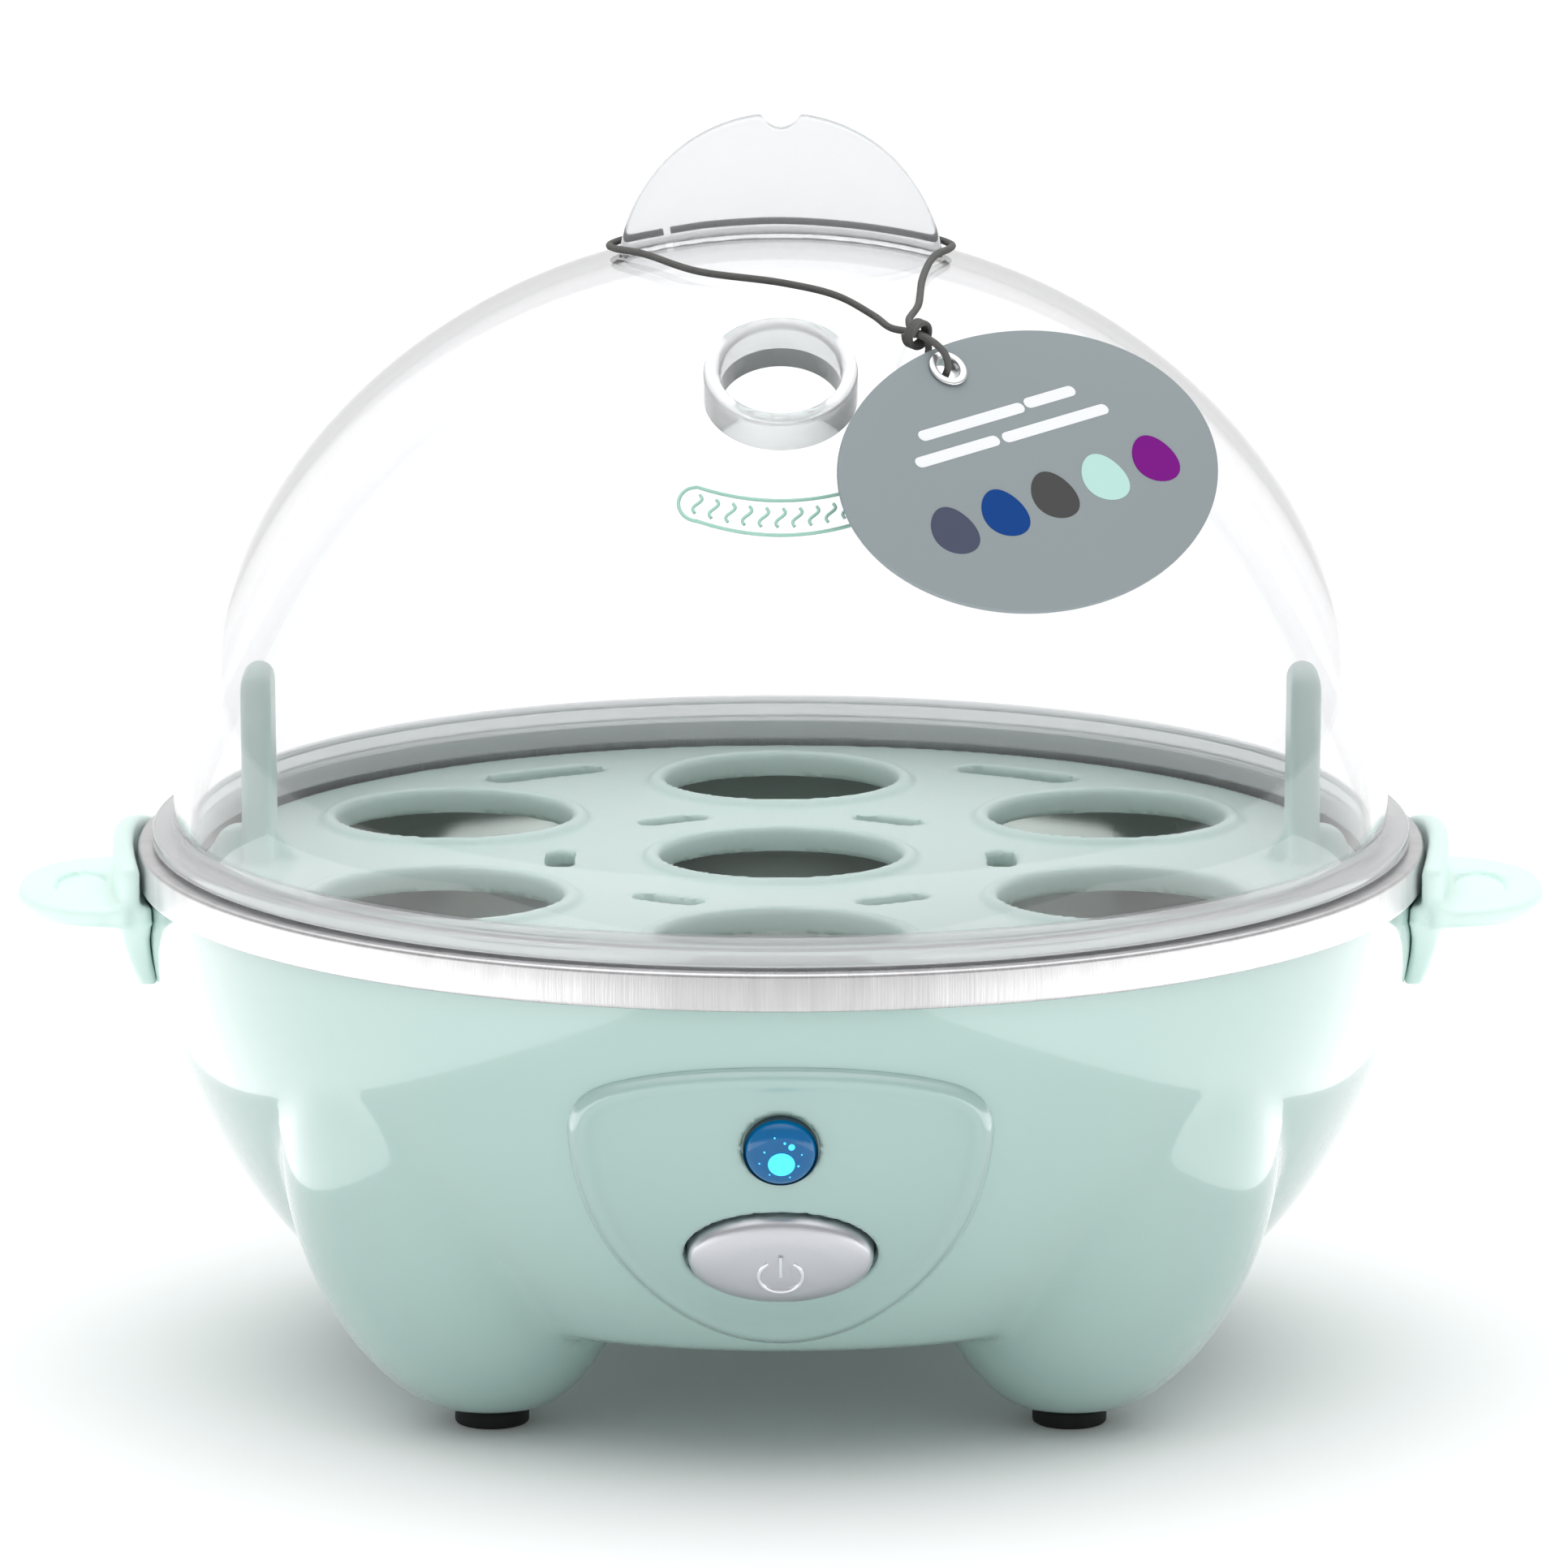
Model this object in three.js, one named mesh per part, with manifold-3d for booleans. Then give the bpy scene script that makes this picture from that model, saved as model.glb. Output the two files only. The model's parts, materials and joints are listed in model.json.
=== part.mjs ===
// Electric egg cooker: a bowl-shaped base on four moulded legs, a steel rim band, a heated dish,
// a lift-out tray with seven egg seats and a clear domed lid with a fin handle and a steam vent.
// Units are millimetres. +Z is up, the origin is on the ground under the centre, -Y is the front.

import * as THREE from "three";
import { mergeVertices } from "three/addons/utils/BufferGeometryUtils.js";
import Module from "manifold-3d";

const wasm = await Module();
wasm.setup();

// ---------------------------------------------------------------- driving dimensions

const GAP = 0.3; // clearance between pieces that touch
const WALL = 2.2; // moulded wall of the base
const ROUND = 40; // facets round a full-size circle
const HIDDEN_ROUND = 32; // facets round a full-size circle inside
const SMALL_ROUND = 16; // facets round a small circle

const BODY_R = 79; // base shell radius at its top edge
const BODY_TOP = 61; // height of that edge
const BODY_DROP = 69; // vertical half-axis of the bowl's elliptical profile
const BODY_UNDER = 14; // height of the underside
const NECK_TOP = 64.7; // neck that the rim band sits over

const LEG_R = 20.8; // horizontal half-axis of a leg lobe
const LEG_HALF_HEIGHT = 31.3;
const LEG_CENTRE_Z = 32;
const LEG_ROOT = 49.7; // distance of the lobe's axis from the centre at ground level
const LEG_LEAN = 0.18; // outward lean of that axis per unit of height
const LEG_PAD_Z = 2.4; // flat end of a leg, over its rubber foot
const LEG_FLOOR_Z = 6; // inside floor of a leg
const FOOT_R = 4.55;
const FOOT_AT = 50; // distance of a foot from the centre

const COVER_R = 29.6; // round bottom cover
const COVER_SCREW_AT = 24;

const RIM_R = 80; // steel band, the widest round part
const RIM_LOW = 61.3;
const RIM_HIGH = 65.9;

const DISH_R = 75.2; // heated dish flange
const DISH_FLANGE_Z = 59.5;
const DISH_FLOOR_Z = 49.5;
const DISH_SHEET = 0.8;
const STUD_AT = 43.5; // three studs under the dish

const TRAY_R = 72.6;
const TRAY_LOW = 60.6;
const TRAY_HIGH = 63;
const SEAT_R = 15; // an egg seat
const SEAT_AT = 48; // six seats round the seventh
const POST_AT = 65;
const POST_TOP = 88;

const LID_R = 75.5; // outside half-axes of the dome
const LID_RISE = 72.6;
const LID_BASE_Z = 69.3;
const LID_WALL = 2;
const LID_FLANGE_R = 78.2;
const FIN_R = 20.1; // fin handle
const FIN_Z = 136.4;
const FIN_THICK = 3;
const VENT_SLOPE = 35; // degrees down the dome from its top
const VENT_R = 9.25;
const VENT_HOLE_R = 7.25;

const HANDLE_REACH = 95; // side tabs, half the overall width
const TAB_HALF = 16.5;
const TAB_TOP = 60;
const BRACKET_TOP = 67;

const PANEL_PROUD = 1.3; // control panel's height over the shell
const PANEL_RECESS = 1; // depth of its seat in the shell
const BUTTON_Z = 29.3;
const BUTTON_HALF_WIDTH = 11.15;
const BUTTON_HALF_HEIGHT = 6.9;
const LAMP_Z = 44.2;
const LENS_R = 4.2;

const INLET_Z = 27; // power inlet at the rear
const INLET_TUBE_R = 9;
const INLET_BORE_R = 5.5;
const INLET_FACE_Y = 73.6; // outer end of the tube

const LEDGE_IN = 72.4; // ring inside the base that the dish rests on
const LEDGE_OUT = 77.6;
const LEDGE_LOW = 53.5;
const LEDGE_TOP = 59.2;

// ---------------------------------------------------------------- materials

const material = (color, roughness, metalness = 0, opacity = 1) =>
  new THREE.MeshStandardMaterial({ color, roughness, metalness, opacity, transparent: opacity < 1 });

const MATERIALS = {
  mint: material(0xc0ded5, 0.18),
  paleMint: material(0xe0f5ee, 0.3),
  panelMint: material(0xb4d0c7, 0.15),
  clear: material(0xf2f2f8, 0.05, 0, 0.3),
  frosted: material(0xf4f5f6, 0.45, 0, 0.85),
  steel: material(0xd2d2d0, 0.35, 1),
  dish: material(0xb9beb8, 0.3, 1),
  silver: material(0xc4c4c8, 0.35, 0.8),
  rubber: material(0x161616, 0.8),
  blueLens: material(0x1682d2, 0.1, 0, 0.8),
  blackPlastic: material(0x222222, 0.5),
  whitePlastic: material(0xeeeeea, 0.4),
  board: material(0x2b6b3d, 0.5),
  brass: material(0xc9a24a, 0.3, 1),
  zinc: material(0xb8babd, 0.35, 1),
  aluminium: material(0xc8cacc, 0.4, 1),
  brownLead: material(0x6b3f22, 0.5),
  blueLead: material(0x2a50a0, 0.5),
  redLead: material(0xa02c24, 0.5),
  whiteLead: material(0xdedede, 0.5),
  tagCard: material(0x98a0a3, 0.8),
  tagString: material(0x5f5f5d, 0.9),
};

// ---------------------------------------------------------------- solids and booleans

// A three.js geometry as a closed solid, with shared corners merged and its faces pointing out.
function solid(geometry) {
  const bare = geometry.clone();
  bare.deleteAttribute("normal");
  bare.deleteAttribute("uv");
  const merged = mergeVertices(bare, 1e-4);
  const at = merged.getAttribute("position");
  const corners = [];
  let volume = 0;
  const [a, b, c] = [new THREE.Vector3(), new THREE.Vector3(), new THREE.Vector3()];
  for (let i = 0; i < merged.index.count; i += 3) {
    const [p, q, r] = [merged.index.getX(i), merged.index.getX(i + 1), merged.index.getX(i + 2)];
    if (p === q || q === r || r === p) continue;
    corners.push([p, q, r]);
    a.fromBufferAttribute(at, p);
    b.fromBufferAttribute(at, q);
    c.fromBufferAttribute(at, r);
    volume += a.dot(b.cross(c));
  }
  const outward = volume > 0 ? corners : corners.map(([p, q, r]) => [p, r, q]);
  return new wasm.Manifold(
    new wasm.Mesh({
      numProp: 3,
      vertProperties: new Float32Array(at.array),
      triVerts: new Uint32Array(outward.flat()),
    }),
  );
}

function geometryOf(body) {
  const mesh = body.getMesh();
  const geometry = new THREE.BufferGeometry();
  geometry.setAttribute("position", new THREE.BufferAttribute(mesh.vertProperties, 3));
  geometry.setIndex(new THREE.BufferAttribute(mesh.triVerts, 1));
  geometry.computeVertexNormals();
  return geometry;
}

const join = (...bodies) => bodies.reduce((whole, body) => whole.add(body));
const cut = (body, ...tools) => tools.reduce((whole, tool) => whole.subtract(tool), body);

// A solid turned about Z from [radius, height] pairs; a section off the axis closes on itself.
function turned(section, facets = ROUND) {
  const points = section.map(([r, z]) => new THREE.Vector2(r, z));
  if (section[0][0] > 0) points.push(points[0].clone());
  return solid(new THREE.LatheGeometry(points, facets).rotateX(Math.PI / 2));
}

// A round bar along Z between two heights.
function bar(radius, low, high, facets = SMALL_ROUND) {
  const geometry = new THREE.CylinderGeometry(radius, radius, high - low, facets).rotateX(Math.PI / 2);
  return solid(geometry.translate(0, 0, (low + high) / 2));
}

function block(low, high) {
  const size = high.map((value, i) => value - low[i]);
  const middle = high.map((value, i) => (value + low[i]) / 2);
  return solid(new THREE.BoxGeometry(...size).translate(...middle));
}

// An outline in X and Y, extruded from one height to another.
function slab(shape, low, high, curveSegments = 12) {
  const options = { depth: high - low, bevelEnabled: false, curveSegments };
  return solid(new THREE.ExtrudeGeometry(shape, options).translate(0, 0, low));
}

function placed(body, matrix) {
  return body.transform(matrix.elements);
}

const moved = (body, x, y, z) => body.translate([x, y, z]);
const degrees = THREE.MathUtils.degToRad;

// A frame whose Z axis is the given direction and whose X axis stays in the given sideways direction.
function frameAt(origin, outward, sideways = new THREE.Vector3(1, 0, 0)) {
  const up = new THREE.Vector3().crossVectors(outward, sideways);
  return new THREE.Matrix4().makeBasis(sideways, up, outward).setPosition(origin);
}

// A closed tube along smooth points, with its steps shared evenly between the points.
function tube(points, radius, steps, sides) {
  const curve = new THREE.CatmullRomCurve3(points.map((p) => new THREE.Vector3(...p)));
  curve.getUtoTmapping = (u) => u;
  const section = new THREE.Shape();
  for (let i = 0; i < sides; i++) {
    const angle = (2 * Math.PI * i) / sides;
    const point = [radius * Math.cos(angle), radius * Math.sin(angle)];
    if (i === 0) section.moveTo(...point);
    else section.lineTo(...point);
  }
  return solid(new THREE.ExtrudeGeometry(section, { steps, extrudePath: curve, bevelEnabled: false }));
}

function ellipse(cx, cy, rx, ry) {
  return new THREE.Path().absellipse(cx, cy, rx, ry, 0, 2 * Math.PI, false, 0);
}

// ---------------------------------------------------------------- assembly

const group = new THREE.Group();

function add(name, body, look, parent = group) {
  const mesh = new THREE.Mesh(geometryOf(body), look);
  mesh.name = name;
  parent.add(mesh);
  return mesh;
}

function placedGroup(matrix) {
  const holder = new THREE.Group();
  holder.applyMatrix4(matrix);
  group.add(holder);
  return holder;
}

// ---------------------------------------------------------------- the bowl's profile

const bodyRadius = (z) => BODY_R * Math.sqrt(1 - ((BODY_TOP - z) / BODY_DROP) ** 2);
const bodySlope = (z) => ((BODY_R ** 2 / BODY_DROP ** 2) * (BODY_TOP - z)) / bodyRadius(z);

// Points of the bowl's side from one height up to another, offset sideways.
function bodySide(low, high, offset, steps) {
  const start = Math.asin((BODY_TOP - low) / BODY_DROP);
  const end = Math.asin((BODY_TOP - high) / BODY_DROP);
  return Array.from({ length: steps + 1 }, (_, i) => {
    const z = BODY_TOP - BODY_DROP * Math.sin(start + ((end - start) * i) / steps);
    return [bodyRadius(z) + offset, z];
  });
}

// A frame on the front of the bowl at one height, with Z pointing out of the surface.
function frontFrame(z) {
  const tilt = Math.atan(bodySlope(z));
  const outward = new THREE.Vector3(0, -Math.cos(tilt), -Math.sin(tilt));
  return frameAt(new THREE.Vector3(0, -bodyRadius(z), z), outward);
}

const buttonFrame = frontFrame(BUTTON_Z);
const lampFrame = frontFrame(LAMP_Z);

// Turns Z to -Y, keeping heights in Y as heights in Z: a bar on Z comes to point out of the front,
// and an outline in X and Y stands up in X and Z.
const ALONG_FRONT = new THREE.Matrix4().makeRotationX(Math.PI / 2);
// Stands an outline up in Y and Z, and turns its extrusion to +X.
const ALONG_SIDE = new THREE.Matrix4().makeBasis(
  new THREE.Vector3(0, 1, 0),
  new THREE.Vector3(0, 0, 1),
  new THREE.Vector3(1, 0, 0),
);
// Turns Z to +X at the height of the handle screws.
const HANDLE_SCREW_Z = 53.5;
const HANDLE_SCREW_FRAME = new THREE.Matrix4()
  .makeTranslation(0, 0, HANDLE_SCREW_Z)
  .multiply(new THREE.Matrix4().makeRotationY(Math.PI / 2));

// ---------------------------------------------------------------- base shell

const LEG_AZIMUTHS = { front_left: 225, front_right: 315, rear_right: 45, rear_left: 135 };

const aroundZ = (angle) => new THREE.Matrix4().makeRotationZ(degrees(angle));

// One leg lobe, leaning outwards along +X and turned to its azimuth.
function legLobe(inset, floor, azimuth, facets) {
  const lean = new THREE.Matrix4().set(1, 0, LEG_LEAN, LEG_ROOT, 0, 1, 0, 0, 0, 0, 1, 0, 0, 0, 0, 1);
  const geometry = new THREE.SphereGeometry(1, facets, facets / 2)
    .rotateX(Math.PI / 2)
    .scale(LEG_R - inset, LEG_R - inset, LEG_HALF_HEIGHT - inset)
    .translate(0, 0, LEG_CENTRE_Z)
    .applyMatrix4(lean);
  const below = block([0, -30, -10], [100, 30, floor]);
  return placed(solid(geometry).subtract(below), aroundZ(azimuth));
}

// A boss under the cover opening, with a rib that ties it to the shell's floor.
function coverBoss(azimuth) {
  const boss = bar(3.5, BODY_UNDER + WALL + GAP, 28, 12);
  const rib = block([0, -1, BODY_UNDER + WALL + GAP], [12, 1, 25]);
  const foot = block([7, -1, BODY_UNDER + 1], [12, 1, BODY_UNDER + WALL + 1]);
  return placed(moved(join(boss, rib, foot), COVER_SCREW_AT, 0, 0), aroundZ(azimuth));
}

const COVER_SCREW_AZIMUTHS = [0, 90, 180, 270];
const BOARD_SCREWS = [
  [-12.5, 11],
  [12.5, 11],
];
const BOARD_FRONT = -13.8; // behind the shell's outer surface, in the button's frame
const BOARD_THICK = 1.6;
const PANEL_PEGS = [-18, 18];
const PANEL_PEG_Z = 43;
const CLAMP_POSTS = [-9.5, 9.5];
const CLAMP_Y = 54;
const CLAMP_Z = 27; // top of the clamp posts

// The panel's outline seen from the front: a rounded shield, wide at the top and drawn to a soft point.
function shieldOutline() {
  const shape = new THREE.Shape();
  shape.moveTo(0, 54.6);
  shape.bezierCurveTo(9, 54.6, 15, 53.6, 19.6, 52.2);
  shape.bezierCurveTo(24, 50.8, 25.6, 48.4, 25.3, 44.6);
  shape.bezierCurveTo(24.8, 36.5, 21.4, 28.8, 15.6, 23.2);
  shape.bezierCurveTo(10.6, 18.4, 5.6, 16.0, 0, 16.0);
  shape.bezierCurveTo(-5.6, 16.0, -10.6, 18.4, -15.6, 23.2);
  shape.bezierCurveTo(-21.4, 28.8, -24.8, 36.5, -25.3, 44.6);
  shape.bezierCurveTo(-25.6, 48.4, -24, 50.8, -19.6, 52.2);
  shape.bezierCurveTo(-15, 53.6, -9, 54.6, 0, 54.6);
  return shape;
}

const PANEL_MIDDLE = 35.3; // height of the outline's centre

// A column along the front with the panel's outline, scaled about its centre.
function panelColumn(scale) {
  const column = slab(shieldOutline(), 40, 100, 5).translate([0, -PANEL_MIDDLE, 0]);
  return placed(column.scale([scale, scale, 1]).translate([0, PANEL_MIDDLE, 0]), ALONG_FRONT);
}

// The space between two sideways offsets of the bowl's outer surface.
function bowlSkin(inside, outside) {
  const [low, steps] = [BODY_UNDER + 0.8, 6];
  return turned([
    ...bodySide(low, BODY_TOP, inside, steps),
    ...bodySide(low, BODY_TOP, outside, steps).reverse(),
  ]);
}

function baseShell() {
  const outer = turned([
    [0, BODY_UNDER],
    [bodyRadius(BODY_UNDER) - 1, BODY_UNDER],
    ...bodySide(BODY_UNDER + 0.8, BODY_TOP, 0, 6),
    [BODY_R, NECK_TOP],
    [0, NECK_TOP],
  ]);
  const inner = turned([
    [0, BODY_UNDER + WALL],
    ...bodySide(BODY_UNDER + WALL, BODY_TOP, -WALL, 5),
    [BODY_R - WALL, NECK_TOP + 2],
    [0, NECK_TOP + 2],
  ], HIDDEN_ROUND);
  const azimuths = Object.values(LEG_AZIMUTHS);
  const ledge = turned([
    [LEDGE_IN, LEDGE_TOP - 1.6],
    [LEDGE_OUT - 1.1, LEDGE_LOW],
    [LEDGE_OUT, LEDGE_LOW],
    [LEDGE_OUT, LEDGE_TOP],
    [LEDGE_IN, LEDGE_TOP],
  ], HIDDEN_ROUND);
  const saddle = block([-3.5, CLAMP_Y - 3, BODY_UNDER + 1], [3.5, CLAMP_Y + 3, INLET_Z - 3.3]);
  const clampPosts = CLAMP_POSTS.map((x) =>
    moved(bar(3.2, BODY_UNDER + 1, CLAMP_Z - GAP, 12), x, CLAMP_Y, 0),
  );
  const boardPosts = BOARD_SCREWS.map(([x, up]) => moved(bar(2.6, BOARD_FRONT + GAP, -2.6, 12), x, up, 0));
  const inletTube = alongRear(bar(INLET_TUBE_R, 62, INLET_FACE_Y));
  let shell = join(outer, ...azimuths.map((a) => legLobe(0, LEG_PAD_Z, a, 18)), inletTube);
  shell = cut(shell, inner, ...azimuths.map((a) => legLobe(WALL, LEG_FLOOR_Z, a, 12)));
  shell = join(
    shell,
    ledge,
    saddle,
    ...clampPosts,
    ...boardPosts.map((post) => placed(post, buttonFrame)),
    ...COVER_SCREW_AZIMUTHS.map(coverBoss),
    inletTube,
  );
  const feet = azimuths.map((a) => placed(moved(bar(2.8, 0, 8, 12), FOOT_AT, 0, 0), aroundZ(a)));
  const coverScrews = COVER_SCREW_AZIMUTHS.map((a) =>
    placed(moved(bar(1.7, 10, 26, 10), COVER_SCREW_AT, 0, 0), aroundZ(a)),
  );
  const boardScrews = BOARD_SCREWS.map(([x, up]) =>
    placed(moved(bar(1.5, BOARD_FRONT - 1, -6, 12), x, up, 0), buttonFrame),
  );
  const pegHoles = PANEL_PEGS.map((x) =>
    placed(moved(bar(2.1, 60, 90, 16), x, PANEL_PEG_Z, 0), ALONG_FRONT),
  );
  const clampScrews = CLAMP_POSTS.map((x) => moved(bar(1.5, 20, 30, 12), x, CLAMP_Y, 0));
  const handleScrews = [0, 180].map((a) =>
    placed(join(bar(1.9, 60, 90, 12), bar(3.4, 60, 76.2, 16)), aroundZ(a).multiply(HANDLE_SCREW_FRAME)),
  );
  return cut(
    shell,
    bar(COVER_R + GAP, 10, BODY_UNDER + WALL + 0.1, HIDDEN_ROUND),
    placed(buttonProfile(GAP, -8, 8), buttonFrame),
    placed(bar(LENS_R + 0.2, -8, 8), lampFrame),
    alongRear(bar(INLET_BORE_R, 40, 90)),
    bowlSkin(-PANEL_RECESS, 4).intersect(panelColumn(1.016)),
    ...feet,
    ...coverScrews,
    ...boardScrews,
    ...pegHoles,
    ...clampScrews,
    ...handleScrews,
  );
}

// Turns a body on the Z axis to lie along +Y at the inlet's height.
function alongRear(body) {
  const turn = new THREE.Matrix4().makeRotationX(-Math.PI / 2);
  return placed(body, new THREE.Matrix4().makeTranslation(0, 0, INLET_Z).multiply(turn));
}

// The button's oval, grown by a clearance, between two depths in its own frame.
function buttonProfile(grow, low, high) {
  const oval = new THREE.Shape(
    ellipse(0, 0, BUTTON_HALF_WIDTH + grow, BUTTON_HALF_HEIGHT + grow).getPoints(36),
  );
  return slab(oval, low, high);
}

add("base_shell", baseShell(), MATERIALS.mint);

// ---------------------------------------------------------------- underside: feet and cover

function foot() {
  return turned(
    [
      [0, 0],
      [FOOT_R - 0.5, 0],
      [FOOT_R, 0.5],
      [FOOT_R, LEG_PAD_Z - GAP],
      [2.5, LEG_PAD_Z - GAP],
      [2.5, LEG_FLOOR_Z + GAP],
      [3.3, LEG_FLOOR_Z + GAP],
      [1.6, LEG_FLOOR_Z + 2.4],
      [0, LEG_FLOOR_Z + 2.4],
    ],
    12,
  );
}

for (const [corner, azimuth] of Object.entries(LEG_AZIMUTHS)) {
  const mesh = add(`foot_${corner}`, foot(), MATERIALS.rubber);
  mesh.position.set(FOOT_AT * Math.cos(degrees(azimuth)), FOOT_AT * Math.sin(degrees(azimuth)), 0);
}

const COVER_LOW = 13.6;

function bottomCover() {
  const plate = turned([
    [0, COVER_LOW + 0.6],
    [16, COVER_LOW + 0.6],
    [17, COVER_LOW],
    [COVER_R - 0.8, COVER_LOW],
    [COVER_R, COVER_LOW + 0.8],
    [COVER_R, BODY_UNDER + WALL],
    [0, BODY_UNDER + WALL],
  ], HIDDEN_ROUND);
  const holes = COVER_SCREW_AZIMUTHS.map((a) => {
    const hole = join(bar(1.7, 10, 20, 12), bar(3.3, 10, 15.2, 16));
    return placed(moved(hole, COVER_SCREW_AT, 0, 0), aroundZ(a));
  });
  return cut(plate, ...holes);
}

add("bottom_cover", bottomCover(), MATERIALS.mint);

// A pan-head screw pointing up Z, with its head's inner face at height zero.
function screw(headR, headHeight, shankR, length) {
  return turned(
    [
      [0, -headHeight],
      [headR * 0.8, -headHeight],
      [headR, -headHeight * 0.5],
      [headR, 0],
      [shankR, 0],
      [shankR, length],
      [0, length + shankR * 0.6],
    ],
    10,
  );
}

COVER_SCREW_AZIMUTHS.forEach((azimuth, i) => {
  const mesh = add(`cover_screw_${i + 1}`, screw(3, 1.1, 1.35, 9), MATERIALS.zinc);
  const angle = degrees(azimuth);
  mesh.position.set(COVER_SCREW_AT * Math.cos(angle), COVER_SCREW_AT * Math.sin(angle), 14.9);
});

// ---------------------------------------------------------------- control panel, lamp and button

function controlPanel() {
  const skin = bowlSkin(GAP - PANEL_RECESS, PANEL_PROUD);
  const pegs = PANEL_PEGS.map((x) => {
    const depth = Math.sqrt(bodyRadius(PANEL_PEG_Z) ** 2 - x ** 2);
    return placed(moved(bar(1.8, depth - WALL - 2, depth + 0.3, 12), x, PANEL_PEG_Z, 0), ALONG_FRONT);
  });
  return cut(
    join(skin.intersect(panelColumn(1)), ...pegs),
    placed(buttonProfile(GAP, -8, 12), buttonFrame),
    placed(bar(LENS_R + 0.2, -8, 12), lampFrame),
  );
}

add("control_panel", controlPanel(), MATERIALS.panelMint);

const lampGroup = placedGroup(lampFrame);

const lens = turned(
  [
    [0, 0.6],
    [2.8, -0.9],
    [2.8, -5.2],
    [5.4, -5.2],
    [5.4, -3.6],
    [LENS_R - 0.1, -3.3],
    [LENS_R - 0.1, 1.2],
    [3.3, 2.2],
    [1.8, 2.7],
    [0, 2.9],
  ],
  SMALL_ROUND,
);
add("indicator_lens", lens, MATERIALS.blueLens, lampGroup);

const led = join(
  turned([[0, -9], [2.9, -9], [2.9, -8], [2.45, -8], [2.45, -2.4], [1.7, -1.2], [0, -0.6]], 16),
  moved(bar(0.3, -11.9, -8.5, 8), -1.27, 0, 0),
  moved(bar(0.3, -11.9, -8.5, 8), 1.27, 0, 0),
);
add("indicator_led", led, MATERIALS.whitePlastic, lampGroup);

const buttonGroup = placedGroup(buttonFrame);
const BUTTON_FLANGE = -3.9; // front of the retaining flange behind the shell
const BUTTON_BACK = -5.1;

// A crowned oval cap with a retaining flange: turned round, then squashed to the oval.
function buttonCap() {
  const section = [
    [0, 2.6],
    [5, 2.45],
    [8.6, 2],
    [10.5, 1.3],
    [BUTTON_HALF_WIDTH, 0.5],
    [BUTTON_HALF_WIDTH, BUTTON_FLANGE],
    [12.5, BUTTON_FLANGE],
    [12.5, BUTTON_BACK],
    [0, BUTTON_BACK],
  ];
  return turned(section, 30).scale([1, BUTTON_HALF_HEIGHT / BUTTON_HALF_WIDTH, 1]);
}

add("button_cap", buttonCap(), MATERIALS.silver, buttonGroup);
add("switch_plunger", bar(1.5, -11, BUTTON_BACK - GAP, 16), MATERIALS.whitePlastic, buttonGroup);

const SWITCH_FRONT = -9.9;

function returnSpring() {
  const wire = 0.35;
  const coilR = 3;
  const turns = 2.5;
  const low = SWITCH_FRONT + GAP + wire + 0.1;
  const high = BUTTON_BACK - GAP - wire - 0.1;
  const count = 20;
  const points = Array.from({ length: count + 1 }, (_, i) => {
    const angle = (2 * Math.PI * turns * i) / count;
    return [coilR * Math.cos(angle), coilR * Math.sin(angle), low + ((high - low) * i) / count];
  });
  return tube(points, wire, 30, 5);
}

add("button_spring", returnSpring(), MATERIALS.zinc, buttonGroup);

const switchBody = cut(
  join(
    block([-6, -6, BOARD_FRONT + GAP], [6, 6, SWITCH_FRONT - 0.6]),
    block([-4.5, -4.5, SWITCH_FRONT - 1], [4.5, 4.5, SWITCH_FRONT]),
  ),
  bar(1.9, BOARD_FRONT + 0.5, 0, 16),
);
add("power_switch", switchBody, MATERIALS.blackPlastic, buttonGroup);

const BOARD_BACK = BOARD_FRONT - BOARD_THICK;
const circuitBoard = cut(
  block([-16, -12, BOARD_BACK], [16, 15, BOARD_FRONT]),
  ...BOARD_SCREWS.map(([x, up]) => moved(bar(1.6, -30, 0, 12), x, up, 0)),
);
add("circuit_board", circuitBoard, MATERIALS.board, buttonGroup);

BOARD_SCREWS.forEach(([x, up], i) => {
  const mesh = add(`board_screw_${i + 1}`, screw(2.4, 1.2, 1.15, 8), MATERIALS.zinc, buttonGroup);
  mesh.position.set(x, up, BOARD_BACK - GAP);
});

const buzzer = cut(bar(5, -5.2, 0), bar(1, -6, -3.8, 12));
add("buzzer", buzzer, MATERIALS.blackPlastic, buttonGroup).position.set(8, -4, BOARD_BACK - GAP);

// ---------------------------------------------------------------- rim band and heated dish

const rimBand = turned([
  [RIM_R - 0.6, RIM_LOW],
  [RIM_R - 0.1, RIM_LOW],
  [RIM_R, RIM_LOW + 0.6],
  [RIM_R, RIM_HIGH - 0.8],
  [RIM_R - 0.8, RIM_HIGH],
  [76.3, RIM_HIGH],
  [75.6, RIM_HIGH - 0.7],
  [75.6, 60.7],
  [76.3, 60.7],
  [76.3, RIM_HIGH - 0.8],
  [RIM_R - 0.6, RIM_HIGH - 0.8],
]);
add("rim_band", rimBand, MATERIALS.steel);

const STUD_AZIMUTHS = [30, 150, 270];
const SHIELD_LOW = 38;
const SHIELD_SHEET = 0.8;

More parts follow.
